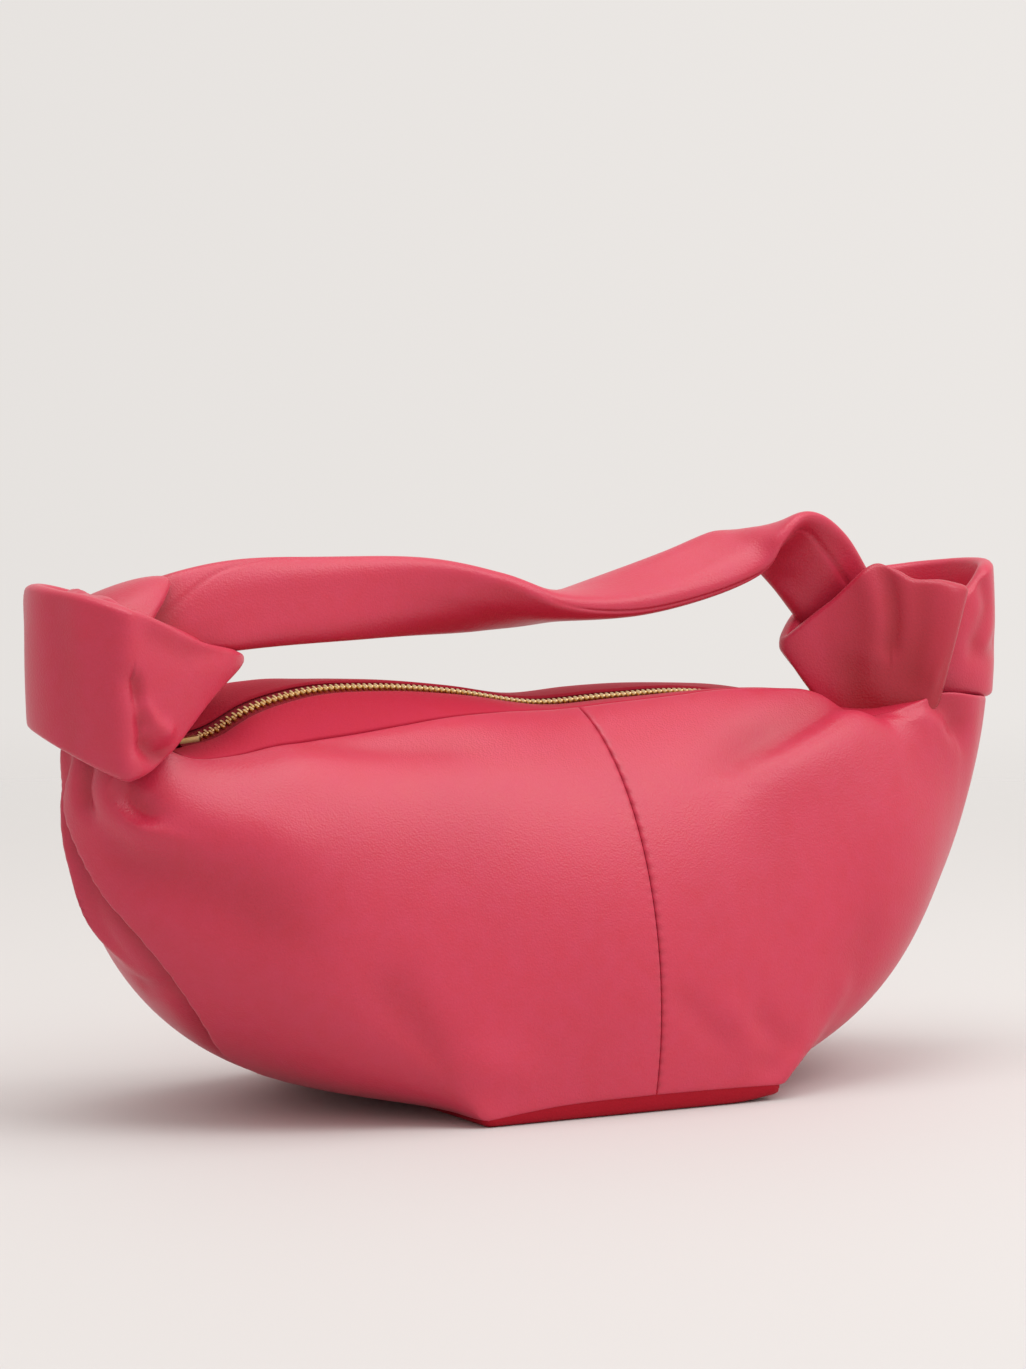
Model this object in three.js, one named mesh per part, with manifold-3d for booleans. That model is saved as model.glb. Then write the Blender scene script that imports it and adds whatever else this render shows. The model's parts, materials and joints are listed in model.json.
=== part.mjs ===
// Top handle bag in soft leather: four body panels on a boxed base, a metal zip over the mouth,
// gathered ends held in two wrapped knots, and a twisted strap from knot to knot.
// Millimetres, +Z up, +X along the bag, front towards -Y, origin under the middle of the base.
import * as THREE from 'three';
import Module from 'manifold-3d';
import { mergeVertices } from 'three/addons/utils/BufferGeometryUtils.js';

// Driving dimensions of the body
const BASE_LENGTH = 115;
const BASE_DEPTH = 144;
const BAG_HEIGHT = 135;
const KNOT_SPAN = 298;
const MOUTH_WIDTH = 36;
const MOUTH_END_WIDTH = 38;
const MOUTH_FLARE_POWER = 4;
const FLANK_SWELL = 4;
const BASE_CORNER = 4;
const BOARD_CORNER = 10;

// Thicknesses and fits
const LEATHER = 1.6;
const BASE_LEATHER = 2;
const BOARD = 1.6;
const LINING = 0.8;
const GAP = 0.3;

// Neck of each gathered end, where the panels meet the tail
const NECK_OFFSET = 12;
const NECK_LENGTH = 34;
const NECK_WIDTH = 40;
const NECK_DROP = 6;
// Share of the last space between ribs that goes round the neck
const NECK_SHARE = 0.7;

// Zip
const ZIP_SAG = 11;
const ZIP_INSET = 15;
const TOOTH_PITCH = 2.5;
const TOOTH_REACH = 0.9;
const TOOTH_MESH_GAP = 0.7;
const CHAIN_HALF_WIDTH = 2.1;
const CHAIN_HALF_HEIGHT = 1;
const TAPE = 0.6;
const TAPE_INSET = 5;
const TAPE_STEPS = 24;
const FACING = 1.5;
const FACING_SLANT = 0.9;
const FACING_TO_CHAIN = 3.1;
const STOP_LENGTH = 6.5;
const STOP_POINT_WIDTH = 1.2;
const STOP_HALF_HEIGHT = 1.2;
const TOP_STOP_LENGTH = 3;
const TOP_STOP_INNER = 0.4;

// Zip slider and its pull
const SLIDER_LENGTH = 9;
const SLIDER_HALF_WIDTH = 4.4;
const SLIDER_PLATE = 1;
const SLIDER_CLEARANCE = 0.4;
const SLIDER_RIM = 1;
const SLIDER_POST_LENGTH = 1.8;
const SLIDER_POST_HALF_WIDTH = 0.9;
const SLIDER_NOSE = 0.3;
const SLIDER_HOME_INSET = 18;
const BRIDGE_LENGTH = 6.4;
const BRIDGE_WIDTH = 1.6;
const BRIDGE_LEG = 1;
const BRIDGE_HOLE = 1.9;
const PULL_BAR = 0.9;
const PULL_ARM = 1;
const PULL_ARM_CLEARANCE = 0.4;
const PULL_EYE = 4.4;
const PULL_REACH = 15;
const PULL_WIDTH = 6;

// Knots: heights are measured up from the neck
const KNOT_LENGTH = 74;
const KNOT_WIDTH = 64;
const WRAP_THICKNESS = 7;
const WRAP_PUFF = 2;
const WRAP_STEPS = 30;
const WRAP_LOW = { inner: 30, side: -2, outer: 9 };
const WRAP_HIGH = { inner: 36, side: 51, outer: 59 };

// Strap: a flattened leather tube that twists along its length
const STRAP_WIDTH = 28;
const STRAP_THICKNESS = 10;
const STRAP_LEATHER = 1.6;
const STRAP_LEFT_RISE = 51.5;
const STRAP_RIGHT_RISE = 65;
const LEFT_TWIST = 0.1;
const RIGHT_TWIST = 0.95;

// Middle of the strap's course: place along the bag, rise over its left end, and twist in radians,
// which brings its top edge over towards the front
const STRAP_COURSE = [
  { along: -45, rise: 1, twist: 0.3 },
  { along: 5, rise: -4, twist: 1.4 },
  { along: 60, rise: 5.5, twist: 2.05 },
  { along: 82, rise: 12, twist: 1.95 },
  { along: 98, rise: 15, twist: 1.4 },
];

// Tail inside the knot, as rings from the neck up to the strap. A ring sits past the knot's centre and up
// from the neck, and leans towards the strap. The lip is measured back and down from the strap's end.
const TAIL_FOOT = { rise: 14, lean: 0.53 };
const TAIL_BELLY = { past: 4, rise: 28, lean: 0.35 };
const TAIL_SLACK = { foot: 6, belly: 8, side: 3, fit: 0.9 };
const LEFT_TAIL = {
  chest: { past: 2, rise: 42, lean: 0.59 },
  bend: { past: -9, rise: 47.5, lean: 1.28, along: 16, across: 17, turned: 0.6 },
  lip: { back: 11, down: 1, lean: 1.4, thickness: 16 },
};
// The right tail leaves a hollow in its knot, and the strap comes down into it lying flat
const RIGHT_TAIL = {
  chest: { past: -1, rise: 38, lean: 0.4 },
  bend: { past: -19, rise: 43, lean: 0.8, along: 7.5, across: 16, turned: 0.6 },
  lip: { back: 9.5, down: 12, lean: 0.8, thickness: 11 },
};
const TAIL_SIDES = 20;
const OVAL_POWER = 0.8;
const STRAP_SIDES = 14;
const STRAP_STEPS = 20;

// Inside pocket on the back lining, in steps of the shell's own grid
const POCKET_COLUMNS = 2;
const POCKET_ROWS = [3, 7];

// Places that follow from the driving dimensions
const baseHalf = BASE_LENGTH / 2;
const depthHalf = BASE_DEPTH / 2;
const mouthHalf = MOUTH_WIDTH / 2;
const mouthEndHalf = MOUTH_END_WIDTH / 2;
const hemHeight = BASE_LEATHER + GAP;
const knotX = KNOT_SPAN / 2;
const neckX = knotX + NECK_OFFSET;
const neckInner = neckX - NECK_LENGTH / 2;
const neckOuter = neckX + NECK_LENGTH / 2;
const zipHalf = knotX - ZIP_INSET;
const arcRadius = (zipHalf ** 2 + ZIP_SAG ** 2) / (2 * ZIP_SAG);
const arcCentreZ = BAG_HEIGHT - arcRadius;
const neckHeight = BAG_HEIGHT - ZIP_SAG - NECK_DROP;
const tapeTop = TAPE / 2;
const facingBottom = tapeTop + GAP;
const facingTop = facingBottom + FACING;
const strapHalf = knotX - KNOT_LENGTH / 2 - GAP;

const leatherPink = new THREE.MeshStandardMaterial({ color: 0xc83c55, roughness: 0.5, metalness: 0 });
const baseLeather = new THREE.MeshStandardMaterial({ color: 0xb02a44, roughness: 0.55, metalness: 0 });
const tapeRed = new THREE.MeshStandardMaterial({ color: 0x8c1226, roughness: 0.9, metalness: 0 });
const liningCloth = new THREE.MeshStandardMaterial({ color: 0xa83a4c, roughness: 0.85, metalness: 0 });
const brass = new THREE.MeshStandardMaterial({ color: 0xd0a24c, roughness: 0.3, metalness: 1 });
const boardGrey = new THREE.MeshStandardMaterial({ color: 0x8a8078, roughness: 0.8, metalness: 0 });
const foamWhite = new THREE.MeshStandardMaterial({ color: 0xe6e2da, roughness: 0.95, metalness: 0 });

// A point at a distance along the zip's arc, across it towards +Y, and lifted off it
function onArc(along, across, lift) {
  const angle = along / arcRadius;
  const radius = arcRadius + lift;
  return new THREE.Vector3(radius * Math.sin(angle), across, arcCentreZ + radius * Math.cos(angle));
}

// Height of the arc, lifted, above a given length along the bag
function arcHeight(x, lift) {
  return arcCentreZ + Math.sqrt((arcRadius + lift) ** 2 - x ** 2);
}

// Half the mouth's width, which grows a little close to the knots
function mouthHalfAt(x) {
  const nearEnd = Math.min(1, Math.abs(x) / neckInner) ** MOUTH_FLARE_POWER;
  return mouthHalf + (mouthEndHalf - mouthHalf) * nearEnd;
}

// Closed solid through rings of points; each open end is closed by joining its ring's two halves
function loft(rings, loop = false) {
  const count = rings[0].length;
  const points = rings.flat();
  const triangles = [];
  const quad = (a, b, c, d) => {
    const shorter = points[a].distanceTo(points[c]) <= points[b].distanceTo(points[d]);
    triangles.push(...(shorter ? [a, b, c, a, c, d] : [b, c, d, b, d, a]));
  };
  const spans = loop ? rings.length : rings.length - 1;
  for (let i = 0; i < spans; i += 1) {
    const here = i * count;
    const next = ((i + 1) % rings.length) * count;
    for (let j = 0; j < count; j += 1) {
      const k = (j + 1) % count;
      quad(here + j, here + k, next + k, next + j);
    }
  }
  const last = (rings.length - 1) * count;
  for (let j = 0; !loop && j < count / 2 - 1; j += 1) {
    quad(j, count - 1 - j, count - 2 - j, j + 1);
    quad(last + j, last + j + 1, last + count - 2 - j, last + count - 1 - j);
  }
  return facingOut(points, triangles);
}

// Geometry whose faces all point away from the inside
function facingOut(points, triangles) {
  let volume = 0;
  for (let i = 0; i < triangles.length; i += 3) {
    const [a, b, c] = [points[triangles[i]], points[triangles[i + 1]], points[triangles[i + 2]]];
    volume += a.dot(new THREE.Vector3().crossVectors(b, c));
  }
  const order = volume < 0 ? triangles.slice().reverse() : triangles;
  const geometry = new THREE.BufferGeometry().setFromPoints(points);
  geometry.setIndex(order);
  geometry.computeVertexNormals();
  return geometry;
}

function steps(from, to, count) {
  return Array.from({ length: count + 1 }, (_, i) => from + ((to - from) * i) / count);
}

// Body shell: ribs of one quarter, from the middle of the front round to the keel at the end.
// Each rib is a Bezier curve in (along, out, up) from the top edge down to the hem.
const ribs = [
  {
    mouth: 0,
    shoulder: [0, depthHalf - 16, BAG_HEIGHT - 19],
    flank: [0, depthHalf + FLANK_SWELL, 58],
    hem: [0, depthHalf, hemHeight],
  },
  {
    mouth: baseHalf + 5,
    shoulder: [baseHalf + 15, depthHalf - 8, BAG_HEIGHT - 21],
    flank: [baseHalf + 35, depthHalf - 6, 36],
    hem: [baseHalf, depthHalf, hemHeight],
  },
  {
    mouth: neckInner - 26,
    shoulder: [neckInner - 2, depthHalf - 15, BAG_HEIGHT - 25],
    flank: [neckInner - 3, depthHalf - 14, 14],
    hem: [baseHalf, depthHalf / 2, hemHeight],
  },
  {
    shoulder: [neckOuter + 1, 0, 83],
    flank: [neckInner + 4, 0, 6],
    hem: [baseHalf, 0, hemHeight],
  },
];
const lastRib = ribs.length - 1;
const neckRib = lastRib - NECK_SHARE;

// Smooth curve through one point of every rib, carried on past the middle and past the keel
function ribCurve(key) {
  const points = ribs.map((rib) => new THREE.Vector3(...rib[key]));
  const before = points[1].clone().setX(-points[1].x);
  const after = points[lastRib - 1].clone().setY(-points[lastRib - 1].y);
  const curve = new THREE.CatmullRomCurve3([before, ...points, after]);
  return (rib) => curve.getPoint((rib + 1) / (lastRib + 2));
}

const shoulderPoint = ribCurve('shoulder');
const flankPoint = ribCurve('flank');

// The hem: straight along the base's edges
function hemPoint(rib) {
  const start = Math.min(Math.floor(rib), lastRib - 1);
  const from = new THREE.Vector3(...ribs[start].hem);
  return from.lerp(new THREE.Vector3(...ribs[start + 1].hem), rib - start);
}

// The top edge: along the mouth on the zip's arc, then round the neck to the keel
const neckTurn = Math.asin(mouthEndHalf / (NECK_WIDTH / 2));
const neckStart = neckX - (NECK_LENGTH / 2) * Math.cos(neckTurn);

function topPoint(rib) {
  if (rib > neckRib) {
    const share = (rib - neckRib) / (lastRib - neckRib);
    const turn = THREE.MathUtils.lerp(neckTurn, Math.PI, share);
    const x = neckX - (NECK_LENGTH / 2) * Math.cos(turn);
    const z = THREE.MathUtils.lerp(arcHeight(neckStart, facingTop), neckHeight, share);
    return new THREE.Vector3(x, (NECK_WIDTH / 2) * Math.sin(turn), z);
  }
  const start = Math.floor(rib);
  const [endRib, end] = start + 1 < neckRib ? [start + 1, ribs[start + 1].mouth] : [neckRib, neckStart];
  const x = THREE.MathUtils.lerp(ribs[start].mouth, end, (rib - start) / (endRib - start));
  return new THREE.Vector3(x, mouthHalfAt(x), arcHeight(x, facingTop));
}

// A point of the outer leather: rib counts ribs from the middle, down goes from mouth 0 to hem 1
function shellPoint(rib, down) {
  const curve = new THREE.CubicBezierCurve3(
    topPoint(rib),
    shoulderPoint(rib),
    flankPoint(rib),
    hemPoint(rib),
  );
  return curve.getPoint(down);
}

// The same point sunk into the bag along the leather's normal
function sunkPoint(rib, down, depth) {
  const small = 0.01;
  const along = shellPoint(Math.min(lastRib, rib + small), down);
  along.sub(shellPoint(Math.max(0, rib - small), down));
  const fall = shellPoint(rib, Math.min(1, down + small));
  fall.sub(shellPoint(rib, Math.max(0, down - small)));
  const outward = new THREE.Vector3().crossVectors(along, fall).normalize();
  return shellPoint(rib, down).addScaledVector(outward, -depth);
}

// Sheet between two depths of the shell; seams keep it clear of the middle planes and the base
function shellSheet(ribSteps, fallSteps, depth, thickness) {
  const rings = ribSteps.map((rib) => {
    const side = rib < 0 ? -1 : 1;
    const place = (down, sunk) => {
      const point = sunkPoint(Math.abs(rib), down, sunk);
      const x = ribSteps[0] < 0 ? point.x * side : Math.max(point.x, GAP / 2);
      return new THREE.Vector3(x, -Math.max(point.y, GAP / 2), Math.max(point.z, hemHeight));
    };
    const outer = fallSteps.map((down) => place(down, depth));
    const inner = fallSteps.map((down) => place(down, depth + thickness));
    return [...outer, ...inner.reverse()];
  });
  return loft(rings);
}

const bag = new THREE.Group();

function addPiece(name, geometry, material, scale = [1, 1, 1]) {
  const mesh = new THREE.Mesh(geometry, material);
  mesh.name = name;
  mesh.scale.set(...scale);
  bag.add(mesh);
  return mesh;
}

// The shell's own grid, shared by leather, lining and pocket so that they stay parallel
const quarterSteps = [
  ...steps(0, lastRib - 1, 8),
  ...steps(lastRib - 1, neckRib, 2).slice(1),
  ...steps(neckRib, lastRib, 5).slice(1),
];
const halfSteps = [...quarterSteps.slice(1).reverse().map((rib) => -rib), ...quarterSteps];
const liningTop = 0.05;
const downSteps = [0, ...steps(liningTop, 1, 8)];

// Body panels, one quarter of the shell each
function addPanels() {
  const panel = shellSheet(quarterSteps, downSteps, 0, LEATHER);
  addPiece('front_panel_right', panel, leatherPink);
  addPiece('front_panel_left', panel.clone(), leatherPink, [-1, 1, 1]);
  addPiece('back_panel_right', panel.clone(), leatherPink, [1, -1, 1]);
  addPiece('back_panel_left', panel.clone(), leatherPink, [-1, -1, 1]);
}

// Flat plate lying on a height, with its corners rounded off
function plate(length, depth, thickness, corner, height) {
  const outline = new THREE.Shape();
  const [x, y] = [length / 2, depth / 2];
  outline.moveTo(x - corner, -y);
  outline.absarc(x - corner, -y + corner, corner, -Math.PI / 2, 0);
  outline.absarc(x - corner, y - corner, corner, 0, Math.PI / 2);
  outline.absarc(-x + corner, y - corner, corner, Math.PI / 2, Math.PI);
  outline.absarc(-x + corner, -y + corner, corner, Math.PI, Math.PI * 1.5);
  const geometry = new THREE.ExtrudeGeometry(outline, {
    depth: thickness, bevelEnabled: false, curveSegments: 3,
  });
  return geometry.translate(0, 0, height);
}

// Base: outer leather, stiffening board on it, lining over the board
function addBase() {
  const liningDepth = LEATHER + GAP + LINING + GAP;
  const boardLength = BASE_LENGTH - 2 * liningDepth;
  const boardDepth = BASE_DEPTH - 2 * liningDepth;
  const boardHeight = BASE_LEATHER + GAP;
  const liningHeight = boardHeight + BOARD + GAP;
  addPiece('base_panel', plate(BASE_LENGTH, BASE_DEPTH, BASE_LEATHER, BASE_CORNER, 0), baseLeather);
  addPiece('base_board', plate(boardLength, boardDepth, BOARD, BOARD_CORNER, boardHeight), boardGrey);
  addPiece('lining_base', plate(boardLength, boardDepth, LINING, BOARD_CORNER, liningHeight), liningCloth);
}

// Lining of front and back, and a slip pocket on the back one
function addLining() {
  const liningDepth = LEATHER + GAP;
  const pocketDepth = liningDepth + LINING + GAP;
  const lining = shellSheet(halfSteps, downSteps.slice(1), liningDepth, LINING);
  addPiece('lining_front', lining, liningCloth);
  addPiece('lining_back', lining.clone(), liningCloth, [1, -1, 1]);
  const middle = quarterSteps.length - 1;
  const pocketSteps = halfSteps.slice(middle - POCKET_COLUMNS, middle + POCKET_COLUMNS + 1);
  const pocket = shellSheet(pocketSteps, downSteps.slice(...POCKET_ROWS), pocketDepth, LINING);
  addPiece('inner_pocket', pocket, liningCloth, [1, -1, 1]);
}

// Strip that follows the zip's arc between two edges and two lifts
function arcStrip(from, to, count, inner, outer, bottom, top) {
  const rings = steps(from, to, count).map((along, i) => {
    const near = inner(along, i);
    const corners = [[near, bottom], [outer(along, bottom), bottom], [outer(along, top), top], [near, top]];
    return corners.map(([across, lift]) => onArc(along, -across, lift));
  });
  return loft(rings);
}

const sliderHome = zipHalf - SLIDER_HOME_INSET;
const bottomStopEnd = STOP_LENGTH - zipHalf;
const chainStart = bottomStopEnd + GAP;
const chainEnd = sliderHome + SLIDER_LENGTH / 2 - SLIDER_NOSE - SLIDER_POST_LENGTH - GAP;

// Leather facings sewn over the tapes, and the tapes under them
function addTapes() {
  const facingInner = () => CHAIN_HALF_WIDTH + FACING_TO_CHAIN;
  const facingOuter = (along, lift) => {
    const edge = mouthHalfAt(onArc(along, 0, lift).x) - GAP;
    return edge - (FACING_SLANT * (facingTop - lift)) / FACING;
  };
  const facing = arcStrip(-zipHalf, zipHalf, TAPE_STEPS, facingInner, facingOuter, facingBottom, facingTop);
  addPiece('zip_facing_front', facing, leatherPink);
  addPiece('zip_facing_back', facing.clone(), leatherPink, [1, -1, 1]);
  const tapeInner = () => CHAIN_HALF_WIDTH + GAP;
  const tapeOuter = (along) => mouthHalfAt(along) - TAPE_INSET;
  const tape = arcStrip(-zipHalf, zipHalf, TAPE_STEPS, tapeInner, tapeOuter, -tapeTop, tapeTop);
  addPiece('zip_tape_front', tape, tapeRed);
  addPiece('zip_tape_back', tape.clone(), tapeRed, [1, -1, 1]);
}

// Two rows of teeth whose edges run side by side in a zigzag
function addTeeth() {
  const count = 2 * Math.floor((chainEnd - chainStart) / TOOTH_PITCH);
  const outer = () => CHAIN_HALF_WIDTH;
  for (const [name, side] of [['front', 1], ['back', -1]]) {
    const zigzag = (along, i) => TOOTH_MESH_GAP / 2 + side * TOOTH_REACH * (i % 2 ? 1 : -1);
    const row = arcStrip(
      chainStart, chainEnd, count, zigzag, outer, -CHAIN_HALF_HEIGHT, CHAIN_HALF_HEIGHT,
    );
    addPiece(`zip_teeth_${name}`, row, brass, [1, side, 1]);
  }
}

// Pointed stop at the open end, and a short stop on each tape past the slider
function addStops() {
  const pointed = (along) => {
    const grown = (along + zipHalf) / STOP_LENGTH;
    return THREE.MathUtils.lerp(STOP_POINT_WIDTH / 2, CHAIN_HALF_WIDTH, grown);
  };
  const stop = arcStrip(
    -zipHalf, bottomStopEnd, 2, (along) => -pointed(along), pointed, -STOP_HALF_HEIGHT, STOP_HALF_HEIGHT,
  );
  addPiece('zip_bottom_stop', stop, brass);
  const from = sliderHome + SLIDER_LENGTH / 2 + GAP;
  const topStop = arcStrip(
    from, from + TOP_STOP_LENGTH, 1, () => TOP_STOP_INNER, () => CHAIN_HALF_WIDTH,
    -STOP_HALF_HEIGHT, STOP_HALF_HEIGHT,
  );
  addPiece('zip_top_stop_front', topStop, brass);
  addPiece('zip_top_stop_back', topStop.clone(), brass, [1, -1, 1]);
}

const wasm = await Module();
wasm.setup();

// Block between two corners as a solid that can be joined to others
function block(low, high) {
  const size = high.map((value, i) => value - low[i]);
  const geometry = new THREE.BoxGeometry(...size);
  geometry.translate(...low.map((value, i) => value + size[i] / 2));
  geometry.deleteAttribute('normal');
  geometry.deleteAttribute('uv');
  const merged = mergeVertices(geometry);
  return new wasm.Manifold(new wasm.Mesh({
    numProp: 3,
    vertProperties: new Float32Array(merged.attributes.position.array),
    triVerts: new Uint32Array(merged.index.array),
  }));
}

function joined(blocks) {
  const solid = blocks.reduce((sum, next) => sum.add(next));
  const mesh = solid.getMesh();
  const geometry = new THREE.BufferGeometry();
  geometry.setAttribute('position', new THREE.BufferAttribute(mesh.vertProperties, 3));
  geometry.setIndex(new THREE.BufferAttribute(mesh.triVerts, 1));
  geometry.computeVertexNormals();
  return geometry;
}

const channelHalf = CHAIN_HALF_HEIGHT + SLIDER_CLEARANCE;
const plateTop = channelHalf + SLIDER_PLATE;
const pullPivot = plateTop + BRIDGE_HOLE / 2;

// Slider: two plates with rims that grip the tapes' edges, a post between them, a bridge on top
function sliderGeometry() {
  const end = SLIDER_LENGTH / 2;
  const postEnd = end - SLIDER_NOSE;
  const rimInner = SLIDER_HALF_WIDTH - SLIDER_RIM;
  const rimTip = tapeTop + GAP;
  const bridgeEnd = BRIDGE_LENGTH / 2;
  const bridgeSide = BRIDGE_WIDTH / 2;
  const bridgeUnder = plateTop + BRIDGE_HOLE;
  const bridgeTop = bridgeUnder + BRIDGE_LEG;
  const blocks = [
    block(
      [postEnd - SLIDER_POST_LENGTH, -SLIDER_POST_HALF_WIDTH, -plateTop],
      [postEnd, SLIDER_POST_HALF_WIDTH, plateTop],
    ),
    block([-bridgeEnd, -bridgeSide, bridgeUnder], [bridgeEnd, bridgeSide, bridgeTop]),
  ];
  for (const side of [-1, 1]) {
    const legs = [side * bridgeEnd, side * (bridgeEnd - BRIDGE_LEG)].sort((a, b) => a - b);
    const rims = [side * rimInner, side * SLIDER_HALF_WIDTH].sort((a, b) => a - b);
    const faces = [side * channelHalf, side * plateTop].sort((a, b) => a - b);
    blocks.push(block([legs[0], -bridgeSide, channelHalf], [legs[1], bridgeSide, bridgeTop]));
    blocks.push(block([-end, -SLIDER_HALF_WIDTH, faces[0]], [end, SLIDER_HALF_WIDTH, faces[1]]));
    blocks.push(block([-end, rims[0], rimTip], [end, rims[1], plateTop]));
    blocks.push(block([-end, rims[0], -plateTop], [end, rims[1], -rimTip]));
  }
  return joined(blocks);
}

// Pull: a bar through the bridge, an arm on each side of it, and the tab, lying towards -X
function pullGeometry() {
  const half = PULL_BAR / 2;
  const armInner = BRIDGE_WIDTH / 2 + PULL_ARM_CLEARANCE;
  const armOuter = armInner + PULL_ARM;
  const low = pullPivot - half;
  const high = pullPivot + half;
  const blocks = [
    block([-half, -armOuter, low], [half, armOuter, high]),
    block([-PULL_REACH, -PULL_WIDTH / 2, low], [-PULL_EYE, PULL_WIDTH / 2, high]),
  ];
  for (const side of [-1, 1]) {
    const arm = [side * armInner, side * armOuter].sort((a, b) => a - b);
    blocks.push(block([-PULL_EYE - half, arm[0], low], [half, arm[1], high]));
  }
  return joined(blocks);
}

function addSlider() {
  const carriage = new THREE.Group();
  carriage.position.copy(onArc(sliderHome, 0, 0));
  carriage.rotation.y = sliderHome / arcRadius;
  for (const [name, geometry] of [['zip_slider', sliderGeometry()], ['zip_pull', pullGeometry()]]) {
    const mesh = new THREE.Mesh(geometry, brass);
    mesh.name = name;
    carriage.add(mesh);
  }
  bag.add(carriage);
}

// Height round a knot's wrap from its values at the inner end, the sides and the outer end
function wrapHeight(heights, turn) {
  const swing = (heights.inner - heights.outer) / 2;
  const ends = (heights.inner + heights.outer) / 2;
  const level = (ends + heights.side) / 2;
  const bow = (ends - heights.side) / 2;
  return neckHeight + level + swing * Math.cos(turn) + bow * Math.cos(2 * turn);
}

// Knot wrap: a broad band round the gathered end, tall outside and narrow under the strap
function wrapGeometry() {
  const rings = steps(0, 2 * Math.PI, WRAP_STEPS).slice(0, WRAP_STEPS).map((turn) => {
    const low = wrapHeight(WRAP_LOW, turn);
    const high = wrapHeight(WRAP_HIGH, turn);
    const rounding = Math.min(WRAP_THICKNESS / 3, (high - low) / 3);
    const place = (sunk, z) => new THREE.Vector3(
      knotX - (KNOT_LENGTH / 2 - sunk) * Math.cos(turn),
      -(KNOT_WIDTH / 2 - sunk) * Math.sin(turn),
      z,
    );
    return [
      place(WRAP_PUFF, low), place(0, low + rounding), place(0, high - rounding), place(WRAP_PUFF, high),
      place(WRAP_THICKNESS - WRAP_PUFF, high), place(WRAP_THICKNESS, high - rounding),
      place(WRAP_THICKNESS, low + rounding), place(WRAP_THICKNESS - WRAP_PUFF, low),
    ];
  });
  return loft(rings, true);
}

// Ring of points on an oval in the plane of two axes; pairs of points mirror over the first axis
function ovalRing(centre, axisA, halfA, axisB, halfB, count) {
  return Array.from({ length: count }, (_, i) => {
    const turn = ((i + 0.5) / count) * 2 * Math.PI;
    const squarer = (value) => Math.sign(value) * Math.abs(value) ** OVAL_POWER;
    return centre.clone()
      .addScaledVector(axisA, halfA * squarer(Math.cos(turn)))
      .addScaledVector(axisB, halfB * squarer(Math.sin(turn)));
  });
}

const upward = new THREE.Vector3(0, 0, 1);
const backward = new THREE.Vector3(0, 1, 0);

// Section of the strap at a place, its width turned from upright by the twist
function strapRing(x, z, twist, inset, count) {
  const wide = upward.clone().applyAxisAngle(new THREE.Vector3(1, 0, 0), twist);
  const thin = backward.clone().applyAxisAngle(new THREE.Vector3(1, 0, 0), twist);
  const centre = new THREE.Vector3(x, 0, z);
  return ovalRing(centre, wide, STRAP_WIDTH / 2 - inset, thin, STRAP_THICKNESS / 2 - inset, count);
}

// Gathered tail on the +X side: fills the knot from the neck up, then bends over into the strap,
// turning with the strap's twist on the way. A strap that lies flat joins it a quarter turn round.
function tailGeometry({ chest, bend, lip }, rise, twist, flat) {
  const insideAlong = KNOT_LENGTH / 2 - WRAP_THICKNESS;
  const insideAcross = KNOT_WIDTH / 2 - WRAP_THICKNESS;
  const lipHalves = [STRAP_WIDTH / 2, lip.thickness / 2];
  const [lipAlong, lipAcross] = flat ? lipHalves.reverse() : lipHalves;
  const stations = [
    {
      past: NECK_OFFSET, rise: NECK_DROP + GAP, lean: 0,
      along: NECK_LENGTH / 2 - LEATHER, across: NECK_WIDTH / 2 - LEATHER,
    },
    { ...TAIL_FOOT, past: NECK_OFFSET, along: NECK_LENGTH / 2, across: NECK_WIDTH / 2 },
    { ...TAIL_BELLY, along: insideAlong - TAIL_SLACK.foot, across: insideAcross - TAIL_SLACK.side },
    { ...chest, along: insideAlong - TAIL_SLACK.belly, across: insideAcross - TAIL_SLACK.fit },
    bend,
    {
      ...lip, past: strapHalf + lip.back - knotX, rise: rise - lip.down,
      along: lipAlong, across: lipAcross, turned: 1,
    },
  ];
  const quarter = flat ? TAIL_SIDES / 4 : 0;
  const ownTwist = flat ? twist - Math.PI / 2 : twist;
  const rings = stations.map((station) => {
    const axis = new THREE.Vector3(-Math.sin(station.lean), 0, Math.cos(station.lean));
    const turn = -ownTwist * (station.turned ?? 0);
    const outward = new THREE.Vector3().crossVectors(backward, axis).applyAxisAngle(axis, turn);
    const sideways = backward.clone().applyAxisAngle(axis, turn);
    const centre = new THREE.Vector3(knotX + station.past, 0, neckHeight + station.rise);
    return ovalRing(centre, outward, station.along, sideways, station.across, TAIL_SIDES);
  });
  const exit = strapRing(strapHalf + GAP, neckHeight + rise, twist, 0, TAIL_SIDES);
  return loft([...rings, [...exit.slice(quarter), ...exit.slice(0, quarter)]]);
}

function addKnots() {
  const wrap = wrapGeometry();
  addPiece('right_knot_wrap', wrap, leatherPink);
  addPiece('left_knot_wrap', wrap.clone(), leatherPink, [-1, 1, 1]);
  const rightTail = tailGeometry(RIGHT_TAIL, STRAP_RIGHT_RISE, RIGHT_TWIST, true);
  const leftTail = tailGeometry(LEFT_TAIL, STRAP_LEFT_RISE, LEFT_TWIST, false);
  addPiece('right_tail', rightTail, leatherPink);
  addPiece('left_tail', leftTail, leatherPink, [-1, 1, 1]);
}

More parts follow.
